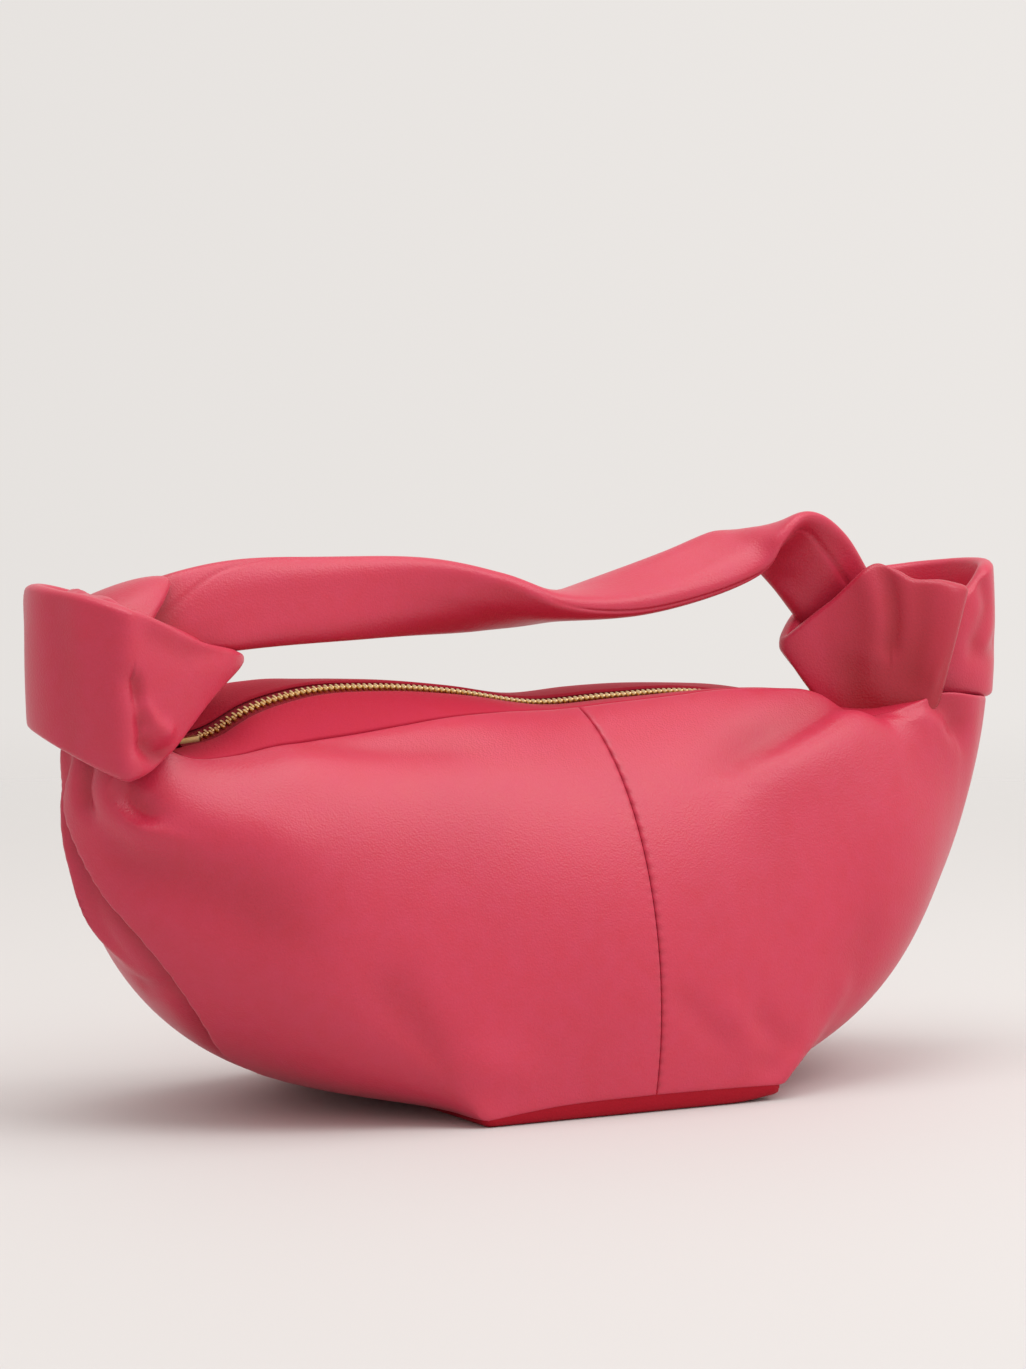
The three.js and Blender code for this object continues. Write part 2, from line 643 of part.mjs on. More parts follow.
// Strap between the tails, with its soft core
function addStrap() {
  const leftHeight = neckHeight + STRAP_LEFT_RISE;
  const rightHeight = neckHeight + STRAP_RIGHT_RISE;
  const middle = STRAP_COURSE.map(({ along, rise, twist }) => [along, leftHeight + rise, twist]);
  const keys = [
    [-strapHalf, leftHeight, LEFT_TWIST],
    ...middle,
    [strapHalf, rightHeight, RIGHT_TWIST],
  ];
  const course = new THREE.CatmullRomCurve3(keys.map((key) => new THREE.Vector3(...key)));
  const stations = steps(0, 1, STRAP_STEPS).map((u) => course.getPoint(u).toArray());
  const rings = (inset) => stations.map((station) => strapRing(...station, inset, STRAP_SIDES));
  const outside = rings(0);
  const inside = rings(STRAP_LEATHER);
  const walls = outside[0].map((_, i) => [
    ...outside.map((ring) => ring[i]),
    ...inside.map((ring) => ring[i]).reverse(),
  ]);
  addPiece('handle_strap', loft(walls, true), leatherPink);
  addPiece('handle_filler', loft(rings(STRAP_LEATHER + GAP)), foamWhite);
}

addBase();
addPanels();
addLining();
addTapes();
addTeeth();
addStops();
addSlider();
addKnots();
addStrap();

export default bag;
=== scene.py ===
"""Looks of a soft leather top handle bag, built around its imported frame."""
import json

import bpy
import numpy as np
from bpy.props import FloatProperty, FloatVectorProperty, PointerProperty
from mathutils import Matrix, Vector


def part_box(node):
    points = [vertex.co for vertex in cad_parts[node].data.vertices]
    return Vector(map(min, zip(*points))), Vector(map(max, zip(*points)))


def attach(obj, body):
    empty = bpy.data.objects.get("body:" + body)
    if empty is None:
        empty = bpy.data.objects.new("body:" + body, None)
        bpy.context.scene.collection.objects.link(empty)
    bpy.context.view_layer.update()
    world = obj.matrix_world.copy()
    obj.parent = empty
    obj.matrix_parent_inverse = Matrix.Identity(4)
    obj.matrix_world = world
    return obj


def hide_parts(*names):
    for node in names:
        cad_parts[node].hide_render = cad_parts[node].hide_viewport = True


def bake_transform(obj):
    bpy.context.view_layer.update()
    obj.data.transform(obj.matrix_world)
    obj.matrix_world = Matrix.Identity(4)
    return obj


bl_info = {
    "name": "Knotted top handle bag",
    "version": (1, 0, 0),
    "blender": (4, 5, 0),
    "location": "3D View > Sidebar > Bag",
    "description": "Dresses the frame of a soft leather bag with knotted ends",
    "category": "Object",
}

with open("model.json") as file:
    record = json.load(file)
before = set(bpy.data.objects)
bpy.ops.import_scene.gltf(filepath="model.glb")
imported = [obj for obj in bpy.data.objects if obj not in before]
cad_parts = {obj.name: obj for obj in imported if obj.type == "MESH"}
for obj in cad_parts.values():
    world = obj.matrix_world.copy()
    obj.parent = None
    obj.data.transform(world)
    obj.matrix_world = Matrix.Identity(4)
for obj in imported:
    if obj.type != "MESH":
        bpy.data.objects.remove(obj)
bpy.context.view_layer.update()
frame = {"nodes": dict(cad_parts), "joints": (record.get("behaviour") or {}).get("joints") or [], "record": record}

MM = 0.001
FULL_TURN = 2 * np.pi
TINY = 1e-9
GAMMA = 2.2
FRONT, BACK = -1, 1
# Place of the side seams on the panels' run, with the centre seam at 0 and the base's corners at 1
KEEL = 3


def node_box(node):
    """Lowest and highest corner of a node of the frame, in millimetres."""
    low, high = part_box(node)
    return np.array(low) / MM, np.array(high) / MM


BASE_HALF, DEPTH_HALF = node_box("base_panel")[1][:2]
KNOT_LOW, KNOT_HIGH = node_box("right_knot_wrap")
KNOT_X = (KNOT_LOW[0] + KNOT_HIGH[0]) / 2
ZIP_START, ZIP_END = (corner[0] for corner in node_box("zip_tape_front"))
CHAIN_LOW, CHAIN_HIGH = node_box("zip_teeth_front")
CHAIN_START, CHAIN_END = CHAIN_LOW[0], CHAIN_HIGH[0]
JOINTS = {joint["name"]: joint for joint in frame["joints"]}
# The arc that the zip follows: its centre, and the height of the teeth's middle at its top
ZIP_CENTRE_Z = JOINTS["zip_slide"]["pos_m"][2] / MM
TOOTH_HALF_HEIGHT = 1
ZIP_TOP = CHAIN_HIGH[2] - TOOTH_HALF_HEIGHT
RECORD_COLOURS = {item["slot"]: item["base_color"] for item in frame["record"]["materials"]}


# Curves

def smoothstep(low, high, x):
    """Eased rise from 0 at low to 1 at high."""
    t = np.clip((np.asarray(x, float) - low) / (high - low), 0, 1)
    return t * t * (3 - 2 * t)


def hill(x, middle, width):
    """Bell of height 1 round a middle."""
    return np.exp(-(((np.asarray(x, float) - middle) / width) ** 2))


def hermite(start, start_slope, end, end_slope, t):
    """Value between two ends with given slopes, t from 0 to 1."""
    u = 1 - t
    rising = (1 + 2 * t) * u * u * start + t * u * u * start_slope
    return rising + t * t * (3 - 2 * t) * end - t * t * u * end_slope


def through(keys, at):
    """Smooth values through keys of (place, value, ...), held level past both ends."""
    keys = np.array(keys, float)
    place, value = keys[:, 0], keys[:, 1:]
    slope = np.gradient(value, place, axis=0)
    at = np.clip(np.asarray(at, float), place[0], place[-1])
    i = np.clip(np.searchsorted(place, at, side="right") - 1, 0, len(place) - 2)
    width = (place[i + 1] - place[i])[..., None]
    t = (at - place[i])[..., None] / width
    return hermite(value[i], slope[i] * width, value[i + 1], slope[i + 1] * width, t)


def level(keys, at):
    """Like through, for keys of (place, value) alone."""
    return through(keys, at)[..., 0]


def along_course(course, count):
    """Evenly numbered places on the smooth line through a course's points."""
    numbered = np.column_stack([np.arange(len(course)), course])
    return through(numbered, np.linspace(0, len(course) - 1, count))


def round_through(points, at):
    """Smooth closed curve that passes its points at whole numbers."""
    points = np.array(points, float)
    count = len(points)
    unit = np.eye(count)
    system = 4 * unit + np.roll(unit, 1, axis=0) + np.roll(unit, -1, axis=0)
    slope = np.linalg.solve(system, 3 * (np.roll(points, -1, axis=0) - np.roll(points, 1, axis=0)))
    whole = np.floor(at).astype(int)
    t = (at - whole)[..., None]
    i = whole % count
    j = (whole + 1) % count
    return hermite(points[i], slope[i], points[j], slope[j], t)


def unit_vectors(vectors):
    return vectors / np.maximum(np.linalg.norm(vectors, axis=-1, keepdims=True), TINY)


def spread(start, end, count, fine=()):
    """Even places from start to end, with finer ones set in from both ends."""
    places = list(np.linspace(start, end, count))
    sign = 1 if end > start else -1
    places += [start + sign * step for step in fine] + [end - sign * step for step in fine]
    return np.array(sorted(set(places), reverse=end < start))


# Zip line

# How far the zip waves above and below its arc, along the bag
ZIP_WAVE = [(-136, 0), (-122, 1), (-110, 5.5), (-90, 8.5), (-60, 6.7), (-30, 2.3), (0, -3), (30, -1.4),
            (60, 0.8), (90, 0.2), (110, 0), (136, 0)]
# How far the zip leans over towards the front, in radians
ZIP_ROLL = [(-140, 0.3), (-100, 0.3), (-60, 0.26), (0, 0.2), (60, 0.18), (100, 0.08), (116, 0), (136, 0)]


def zip_height(x):
    """Height of the zip above the floor at a place along the bag."""
    radius = ZIP_TOP - ZIP_CENTRE_Z
    arc = ZIP_CENTRE_Z + np.sqrt(radius ** 2 - np.asarray(x, float) ** 2)
    return arc + level(ZIP_WAVE, x)


# Body shell. Its ring runs from the left keel over the front to the right keel, and back over the back.
# Each line from the rim to the hem is drawn towards a shoulder and a flank on its way.

SHOULDERS = [
    (-180, 0, 80), (-144, -56, 110), (-72, -64, 114), (0, -56, 116), (72, -64, 114), (141, -56, 111),
    (178, 0, 86), (141, 56, 110), (72, 64, 114), (0, 56, 116), (-72, 64, 114), (-144, 56, 110),
]
FLANKS = [
    (-150, 0, 5), (-142, -58, 13), (-92, -66, 36), (0, -76, 58), (92, -66, 36), (140, -58, 15),
    (146, 0, 8), (140, 58, 14), (92, 66, 36), (0, 76, 58), (-92, 66, 36), (-142, 58, 13),
]
# Upper edge of the panels: place on the ring from keel to keel, along, across, up
FRONT_RIM = [
    (-3, -169, 0, 134), (-2.8, -166, -10, 132), (-2.6, -158, -17, 129), (-2.4, -148, -20, 125),
    (-2.2, -137, -20, 121), (-2, -124, -19, 121), (-1.6, -98, -19.5, 125.5), (-1.3, -80, -20, 126.5),
    (-1, -62, -20, 128.5), (-0.7, -44, -19, 130.5), (-0.35, -22, -18, 131.5), (0, 0, -17.5, 131.5),
    (0.35, 22, -18, 133), (0.7, 44, -19, 134.5), (1, 62, -20, 136), (1.4, 85, -22, 136),
    (1.8, 105, -25, 134), (2.02, 117, -29, 127), (2.15, 125, -31.5, 126.5), (2.3, 134, -34, 129),
    (2.5, 148, -36, 132), (2.7, 164, -32.5, 130.5), (2.85, 174, -21, 129.5), (3, 175.5, 0, 131),
]
BACK_RIM = [
    (-3, -169, 0, 134), (-2.8, -166, 10, 132), (-2.6, -158, 17, 129), (-2.4, -148, 20, 126),
    (-2.2, -137, 19.5, 131), (-2, -124, 19, 138), (-1.6, -98, 19.5, 142.8), (-1.3, -80, 20, 142.6),
    (-1, -62, 20, 141), (-0.7, -44, 19, 138.6), (-0.35, -22, 18, 136.2), (0, 0, 17.5, 134.6),
    (0.35, 22, 18, 136), (0.7, 44, 19, 136.4), (1, 62, 20, 135.6), (1.4, 85, 21, 133.6),
    (1.8, 105, 21, 130.5), (2.1, 120, 20.5, 128), (2.3, 133, 20, 126), (2.5, 148, 20, 124.5),
    (2.7, 162, 18, 127), (2.85, 170, 11.5, 129), (3, 175, 0, 131),
]
RING = 4 * KEEL
# How many points of the rim are repeated past its ends
RIM_OVERLAP = 4


def rim_keys():
    """Upper edge once round the bag, with some of it repeated past both ends."""
    front = [(KEEL + u, *point) for u, *point in FRONT_RIM]
    back = [(3 * KEEL - u, *point) for u, *point in BACK_RIM[1:-1]][::-1]
    once = np.array(front + back)
    turn = np.array([RING, 0, 0, 0])
    return np.vstack([once[-RIM_OVERLAP:] - turn, once, once[:RIM_OVERLAP] + turn])


RIM_KEYS = rim_keys()
# Height of the panels' lower edge over the floor along the front, where the base leather shows below it
FRONT_HEM = [(-1.5, 2.3), (-1, 2.3), (-0.8, 3.5), (-0.55, 4.8), (0, 5.6), (0.5, 5.6), (1, 5.2), (1.5, 4.2),
             (2.2, 3), (3, 2.3)]
HEM = 2.3
# How far the front's centre seam leans to the side
SEAM_LEAN = 0.13
# How far the left side seam wanders to the front on its way down
LEFT_SEAM_LEAN = [(0, 0), (0.09, -0.03), (0.17, -0.1), (0.235, 0), (0.32, 0.14), (0.41, 0.32), (0.52, 0.43),
                  (0.61, 0.41), (0.7, 0.27), (0.85, 0.17), (1, 0.15)]
LEFT_SEAM_FROM = -2
# How far the base's sharp corners are eased up the panels, and the shares of the places that this blends
CORNER_EASE = 1.1
EASE_BLEND = [(0.25, -1), (0.5, 0), (0.25, 1)]
BODY_MIDDLE = np.array([0, 0, 70.0])


def hem_point(u, side):
    """The hem along the base's edges, its corners at u -1 and 1."""
    inside = np.clip(u, -1, 1)
    beyond = np.clip((np.abs(u) - 1) / (KEEL - 1), 0, 2)
    height = level(FRONT_HEM, u) if side == FRONT else np.full(u.shape, HEM)
    return np.stack([inside * BASE_HALF, side * DEPTH_HALF * (1 - beyond), height], axis=-1)


def shell(u, v, side):
    """Outside of the leather: u runs from the left keel to the right one, v from the rim to the hem."""
    u, v = np.broadcast_arrays(np.asarray(u, float), np.asarray(v, float))
    if side == FRONT:
        u = u + SEAM_LEAN * np.clip(1 - u * u, 0, 1) ** 2
    u = u - side * level(LEFT_SEAM_LEAN, v) * smoothstep(LEFT_SEAM_FROM, -KEEL, u)
    ring = KEEL + u if side == FRONT else 3 * KEEL - u
    rim = through(RIM_KEYS, ring)
    shoulder = round_through(SHOULDERS, ring)
    flank = round_through(FLANKS, ring)
    hem = np.zeros(u.shape + (3,))
    for share, shift in EASE_BLEND:
        hem += share * hem_point(u + shift * CORNER_EASE * (1 - v), side)
    v = v[..., None]
    w = 1 - v
    return w ** 3 * rim + 3 * w * w * v * shoulder + 3 * w * v * v * flank + v ** 3 * hem


def grid_normals(points):
    """Normals of a grid of points, away from the bag's middle."""
    across = np.gradient(points, axis=0)
    down = np.gradient(points, axis=1)
    normals = unit_vectors(np.cross(across, down))
    outward = np.sum(normals * (points - BODY_MIDDLE), axis=-1).mean()
    return normals if outward > 0 else -normals


# Folds in the leather: side, course as (u, v) places, height or depth, and width to the left and the right
FOLDS = [
    (FRONT, [(-2.67, 0.02), (-2.64, 0.1), (-2.61, 0.15), (-2.52, 0.2), (-2.4, 0.22), (-2.15, 0.25)],
     3.6, 6.5, 2.4),
    (FRONT, [(-2.56, 0.03), (-2.55, 0.1), (-2.52, 0.145), (-2.43, 0.178), (-2.28, 0.195)], -1.8, 2.6, 7),
    (FRONT, [(-2.86, 0.03), (-2.84, 0.1), (-2.8, 0.145), (-2.72, 0.19)], -4.2, 3.2, 3.2),
    (FRONT, [(-2.7, 0.25), (-2.46, 0.307), (-2.15, 0.38), (-1.85, 0.48), (-1.5, 0.58)], -3.2, 13, 15),
    (FRONT, [(-2.3, 0.2), (-1.95, 0.27), (-1.6, 0.33)], 1.8, 12, 12),
    (FRONT, [(-1.6, 0.02), (-1.2, 0.08), (-0.8, 0.12), (-0.5, 0.13)], -1.5, 7, 7),
    (FRONT, [(-0.92, 0.86), (-0.77, 0.885), (-0.6, 0.93)], 1.3, 8, 8),
    (FRONT, [(-1.25, 0.66), (-1.05, 0.82), (-0.95, 0.96)], -1.8, 8, 8),
    (FRONT, [(2.02, 0.015), (1.72, 0.062), (1.3, 0.135), (0.9, 0.21), (0.5, 0.3)], -3.3, 11, 4.5),
    (FRONT, [(2.2, 0.05), (1.78, 0.11), (1.38, 0.185), (0.98, 0.265), (0.6, 0.35)], 2.5, 4.5, 15),
    (FRONT, [(2.42, 0.02), (2.47, 0.07), (2.5, 0.14)], -3, 4, 6),
    (FRONT, [(0.42, 0.82), (0.55, 0.858), (0.65, 0.902), (0.64, 0.95)], 0.9, 6, 6),
    (FRONT, [(0.66, 0.84), (0.75, 0.865), (0.9, 0.885), (1.02, 0.89)], -1.2, 7, 6),
    (FRONT, [(0.7, 0.93), (0.8, 0.94), (0.9, 0.94)], -0.7, 3.5, 3.5),
    (FRONT, [(1.3, 0.72), (1.21, 0.83), (1.09, 0.92), (1, 0.98)], 1.3, 5, 5),
    (FRONT, [(1.45, 0.6), (1.3, 0.75), (1.2, 0.88)], -0.9, 7, 6),
    (FRONT, [(0.12, 0.8), (0.3, 0.86), (0.48, 0.9)], -0.9, 5, 5),
    (BACK, [(-2.8, 0.05), (-2.79, 0.16), (-2.82, 0.285), (-2.72, 0.405), (-2.78, 0.5)], 4, 2, 5),
    (BACK, [(-2.72, 0.52), (-2.86, 0.53), (-2.97, 0.54)], -1.4, 2.5, 3.5),
    (BACK, [(-2.6, 0.06), (-2.5, 0.25), (-2.3, 0.5)], -3, 8, 8),
    (BACK, [(2.75, 0.05), (2.65, 0.3), (2.45, 0.6), (2.1, 0.85)], -3, 9, 5),
    (BACK, [(-2.4, 0.02), (-2.2, 0.15), (-1.8, 0.3)], -3.5, 7, 9),
    (BACK, [(2.5, 0.02), (2.3, 0.15), (1.9, 0.3)], -3.5, 9, 7),
    (BACK, [(-1.2, 0.1), (-0.8, 0.3), (-0.5, 0.6)], -1.6, 18, 18),
    (BACK, [(1.3, 0.1), (0.9, 0.35), (0.6, 0.7)], 1.5, 18, 18),
]
COURSE_POINTS = 80
# A fold's width changes over from one side of its course to the other across this turn
WIDTH_BLEND = 0.5
# Shares of a course over which its fold starts and dies away
FOLD_LEAD, FOLD_START, FOLD_END = 0.1, 0.15, 0.35
# The pleat along the left side seam: where it grows and dies away, and the front's and back's height and width
PLEAT_GROWS, PLEAT_DIES = (0.02, 0.2), (0.86, 0.66)
PLEAT_RISE, PLEAT_RISE_WIDTH = 2.6, 14
PLEAT_DIP, PLEAT_DIP_WIDTH = -7.5, 8
PLEAT_POINTS = 40


def fold_heights(points, v, side):
    """How far the folds lift or sink each point of the shell."""
    lift = np.zeros(v.shape)
    normals = grid_normals(points)
    for fold_side, course, height, left_width, right_width in FOLDS:
        if fold_side != side:
            continue
        line = along_course(course, COURSE_POINTS)
        trail = shell(line[:, 0], line[:, 1], side)
        run = unit_vectors(np.gradient(trail, axis=0))
        gaps = np.linalg.norm(points[:, :, None, :] - trail, axis=-1)
        near = gaps.argmin(axis=-1)
        aside = unit_vectors(points - trail[near])
        turn = side * np.sum(np.cross(normals, run[near]) * aside, axis=-1)
        width = right_width + (left_width - right_width) * smoothstep(-WIDTH_BLEND, WIDTH_BLEND, turn)
        share = np.linspace(0, 1, COURSE_POINTS)
        fade = smoothstep(0, FOLD_START, share + FOLD_LEAD) * smoothstep(0, FOLD_END, 1 - share)
        lift += height * (fade * np.exp(-((gaps / width[..., None]) ** 2))).max(axis=-1)
    return lift + pleat_heights(points, v, side)


def pleat_heights(points, v, side):
    """The pleat along the left side seam: the front stands over the back, which dips under it."""
    seam = shell(np.full(PLEAT_POINTS, -KEEL), np.linspace(0, 1, PLEAT_POINTS), side)
    gap = np.linalg.norm(points[:, :, None, :] - seam, axis=-1).min(axis=-1)
    strength = smoothstep(*PLEAT_GROWS, v) * smoothstep(*PLEAT_DIES, v)
    if side == FRONT:
        return strength * (PLEAT_RISE * np.exp(-gap / PLEAT_RISE_WIDTH))
    return strength * (PLEAT_DIP * hill(gap, 0, PLEAT_DIP_WIDTH))


def panel_surface(u_steps, v_steps, side, sunk=0):
    """Grid of the folded shell, sunk by a depth, with its normals and its fold heights."""
    u, v = np.meshgrid(u_steps, v_steps, indexing="ij")
    points = shell(u, v, side)
    lift = fold_heights(points, v, side)
    points = points + grid_normals(points) * lift[..., None]
    normals = grid_normals(points)
    return points - normals * sunk, normals, lift


# Meshes

def grid_faces(rows, columns, start=0, wrap_rows=False, wrap_columns=False):
    """Quads between the points of a grid, as point numbers."""
    number = np.arange(rows * columns).reshape(rows, columns) + start
    if wrap_rows:
        number = np.vstack([number, number[:1]])
    if wrap_columns:
        number = np.hstack([number, number[:, :1]])
    quads = [number[:-1, :-1], number[1:, :-1], number[1:, 1:], number[:-1, 1:]]
    return np.stack(quads, axis=-1).reshape(-1, 4)


def tube_faces(rows, columns):
    """Faces of a tube of rings, closed by a flat face at both ends."""
    last = (rows - 1) * columns
    faces = [list(face) for face in grid_faces(rows, columns, wrap_columns=True)]
    faces.append(list(range(columns))[::-1])
    faces.append([last + i for i in range(columns)])
    return faces


def both_sides(values):
    """A grid's values for the outer and the inner points of its sheet."""
    return np.concatenate([np.ravel(values), np.ravel(values)])


def make_piece(name, points, faces, material, shade=None, sharp=50, seam=None):
    """Mesh object in metres from points in millimetres, smooth apart from sharp edges."""
    mesh = bpy.data.meshes.new(name)
    mesh.from_pydata((np.asarray(points, float) * MM).tolist(), [], [list(map(int, face)) for face in faces])
    mesh.polygons.foreach_set("use_smooth", np.ones(len(mesh.polygons), bool))
    # The fold attribute holds painted shade, and the seam attribute marks the stitches
    for label, values in [("fold", shade), ("seam", seam)]:
        if values is not None:
            attribute = mesh.attributes.new(label, "FLOAT", "POINT")
            attribute.data.foreach_set("value", np.asarray(values, np.float32).ravel())
    mesh.materials.append(material)
    mesh.validate()
    turn_outward(mesh)
    mesh.set_sharp_from_angle(angle=np.radians(sharp))
    piece = bpy.data.objects.new(name, mesh)
    bpy.context.scene.collection.objects.link(piece)
    return piece


def turn_outward(mesh):
    """Flips the faces of a closed mesh if they point into it."""
    mesh.calc_loop_triangles()
    corners = np.array([[mesh.vertices[i].co for i in tri.vertices] for tri in mesh.loop_triangles])
    volume = np.einsum("ij,ij->i", corners[:, 0], np.cross(corners[:, 1], corners[:, 2])).sum()
    if volume < 0:
        mesh.flip_normals()


def sheet_mesh(outer, inner):
    """Points and faces of a closed sheet between two grids of one size."""
    rows, columns = outer.shape[:2]
    count = rows * columns
    number = np.arange(count).reshape(rows, columns)
    border = np.concatenate([number[:, 0], number[-1, 1:], number[-2::-1, -1], number[0, -2:0:-1]])
    after = np.roll(border, -1)
    rim = np.stack([border, after, after + count, border + count], axis=-1)
    front = grid_faces(rows, columns)
    back = grid_faces(rows, columns, count)[:, ::-1]
    points = np.concatenate([outer.reshape(-1, 3), inner.reshape(-1, 3)])
    return points, np.concatenate([front, back, rim[:, ::-1]])


def rolled(surface, normals, thickness, roll):
    """Outer and inner grid of a sheet whose edges are rolled in over a distance."""
    rows, columns = surface.shape[:2]
    along = np.linalg.norm(np.diff(surface, axis=0), axis=-1)
    down = np.linalg.norm(np.diff(surface, axis=1), axis=-1)
    zero_row = np.zeros((1, columns))
    zero_column = np.zeros((rows, 1))
    from_start = np.vstack([zero_row, np.cumsum(along, axis=0)])
    from_top = np.hstack([zero_column, np.cumsum(down, axis=1)])
    gap = np.minimum(
        np.minimum(from_start, from_start[-1:] - from_start),
        np.minimum(from_top, from_top[:, -1:] - from_top),
    )
    t = np.clip(1 - gap / roll, 0, 1)
    drop = (1 - np.sqrt(np.clip(1 - t * t, 0, 1)))[..., None] * thickness / 2
    outer = surface - normals * drop
    inner = surface - normals * (thickness - drop)
    return outer, inner


# Materials

class Socket:
    """A shader socket; operators on it add Math nodes."""

    def __init__(self, shader, socket):
        self.shader = shader
        self.socket = socket

    def math(self, operation, first, second):
        return self.shader.add("ShaderNodeMath", {"operation": operation}, {0: first, 1: second})

    def __add__(self, other):
        return self.math("ADD", self, other)

    def __radd__(self, other):
        return self.math("ADD", other, self)

    def __sub__(self, other):
        return self.math("SUBTRACT", self, other)

    def __rsub__(self, other):
        return self.math("SUBTRACT", other, self)

    def __mul__(self, other):
        return self.math("MULTIPLY", self, other)

    def __rmul__(self, other):
        return self.math("MULTIPLY", other, self)

    def sine(self):
        return self.math("SINE", self, 0)


class Shader:
    """The node tree of a material or a world, with its main shader."""

    def __init__(self, owner, main_type="BSDF_PRINCIPLED"):
        self.owner = owner
        self.owner.use_nodes = True
        self.tree = self.owner.node_tree
        self.main = self.node_of(main_type)

    def node_of(self, node_type):
        """The tree's own node of a type."""
        return next(node for node in self.tree.nodes if node.type == node_type)

    def add(self, kind, settings=None, inputs=None, output=0):
        """Adds a node: its settings first, then the values or links of its sockets."""
        node = self.tree.nodes.new(kind)
        for key, value in (settings or {}).items():
            setattr(node, key, value)
        for key, value in (inputs or {}).items():
            self.feed(node.inputs[key], value)
        return Socket(self, node.outputs[output])

    def feed(self, socket, value):
        """Links a socket to another one, or sets its value."""
        if isinstance(value, Socket):
            self.tree.links.new(value.socket, socket)
        else:
            socket.default_value = value

    def set(self, **values):
        """Feeds the main shader's sockets and gives the material or world."""
        for key, value in values.items():
            self.feed(self.main.inputs[key.replace("_", " ")], value)
        return self.owner

    def mix(self, factor, first, second):
        """Colour between two colours."""
        return self.add("ShaderNodeMix", {"data_type": "RGBA"}, {0: factor, 6: first, 7: second}, 2)

    def noise(self, place, scale, detail=2, roughness=0.5):
        """Soft noise over a place."""
        inputs = {"Vector": place, "Scale": scale, "Detail": detail, "Roughness": roughness}
        return self.add("ShaderNodeTexNoise", None, inputs)

    def place(self):
        """Place on the piece, in metres."""
        return self.add("ShaderNodeTexCoord", None, None, "Object")

    def painted(self, name):
        """Values that a piece carries at its points."""
        return self.add("ShaderNodeAttribute", {"attribute_name": name}, None, "Fac")

    def bump(self, height, strength, distance):
        """Normal of a surface with a fine relief."""
        inputs = {"Strength": strength, "Distance": distance, "Height": height}
        return self.add("ShaderNodeBump", None, inputs, "Normal")


def shaded(colour, factor):
    """A colour made lighter or darker."""
    return tuple(min(1, part * factor) for part in colour[:3]) + (1,)


def tinted(colour, tint):
    """A colour with each of its three parts scaled."""
    return tuple(part * scale for part, scale in zip(colour, tint)) + (1,)


# Tints of the leather: a pale tint of its grain that partly paints its sheen, the painted shade of its folds and
# shaded places, and the painted shade of the base under the bag
GRAIN_AND_SHEEN_TINT = (1.1, 2.2, 2.8)
PAINTED_SHADE_TINT = (0.6, 0.2, 0.28)
BASE_SHADE_TINT = (0.9, 0.2, 0.25)
# Shades of its clouds and of its stitches, and how far the grain's pale tint with its painted sheen and the
# stitches' colours come through
CLOUD_DARK, CLOUD_LIGHT = 0.9, 1.08
STITCH_DARK = 0.45
GRAIN_AND_SHEEN_SHARE, STITCH_SHARE = 0.4, 0.3
# Heights of its relief, and the least and the further roughness of its grain
PEBBLE_HEIGHT, CREASE_HEIGHT, STITCH_DEPTH = 0.6, 0.5, 1.2
SMOOTH_GRAIN, ROUGH_GRAIN = -0.08, 0.14
SHEEN_PER_GLOSS = 0.1
STITCHES_PER_METRE = 250


def leather_material(name, colour, roughness=0.4, gloss=0.5):
    """Satin leather: soft clouds of colour, a pebbled grain with a pale tint that partly paints sheen, painted
    shade where the fold attribute asks for it, stitches along a seam.
    """
    shader = Shader(bpy.data.materials.new(name))
    place = shader.place()
    clouds = shader.noise(place, scale=22, detail=3)
    mottle = shader.noise(place, scale=160, detail=4, roughness=0.6)
    pebbles = shader.add(
        "ShaderNodeTexVoronoi", {"feature": "SMOOTH_F1"}, {"Vector": place, "Scale": 1500, "Smoothness": 0.6},
    )
    creases = shader.noise(place, scale=900, detail=4, roughness=0.65)
    body = shader.mix(clouds, shaded(colour, CLOUD_DARK), shaded(colour, CLOUD_LIGHT))
    # A pale tint in random mottles: partly the grain's own tone, partly painted sheen
    grain_and_sheen = shader.mix(mottle * GRAIN_AND_SHEEN_SHARE, body, tinted(colour, GRAIN_AND_SHEEN_TINT))
    # Painted shade: the fold attribute mixes the colour towards a darker, redder tone in creases, under the knots,
    # on the base and on shaded sides
    folded = shader.mix(shader.painted("fold"), grain_and_sheen, tinted(colour, PAINTED_SHADE_TINT))
    upright = shader.add("ShaderNodeSeparateXYZ", None, {0: place}, 2)
    stitch_wave = (upright * (STITCHES_PER_METRE * FULL_TURN)).sine()
    stitches = shader.painted("seam") * (stitch_wave * 0.5 + 0.5)
    stitched = shader.mix(stitches * STITCH_SHARE, folded, shaded(colour, STITCH_DARK))
    height = pebbles * PEBBLE_HEIGHT + creases * CREASE_HEIGHT - stitches * STITCH_DEPTH
    return shader.set(
        Base_Color=stitched,
        Roughness=roughness + SMOOTH_GRAIN + mottle * ROUGH_GRAIN,
        Normal=shader.bump(height, strength=0.26, distance=0.0005),
        Sheen_Weight=gloss * SHEEN_PER_GLOSS,
        Sheen_Roughness=0.4,
        Specular_IOR_Level=gloss,
    )


def cloth_material(name, colour, threads=900):
    """Plain weave: crossed threads that shade and lift one another."""
    shader = Shader(bpy.data.materials.new(name))
    place = shader.place()
    apart = shader.add("ShaderNodeSeparateXYZ", None, {0: place})
    upright = Socket(shader, apart.socket.node.outputs[2])
    turns = threads * FULL_TURN
    weave = (apart * turns).sine() * (upright * turns).sine() * 0.5 + 0.5
    flecks = shader.noise(place, scale=300, detail=3)
    threads_colour = shader.mix(weave, shaded(colour, 0.75), shaded(colour, 1.1))
    tone = shader.mix(flecks * 0.4, threads_colour, shaded(colour, 0.85))
    relief = shader.bump(weave, strength=0.3, distance=0.0003)
    return shader.set(Base_Color=tone, Roughness=0.85 + flecks * 0.1, Normal=relief)


PALE_BRASS = (0.92, 0.68, 0.4, 1)


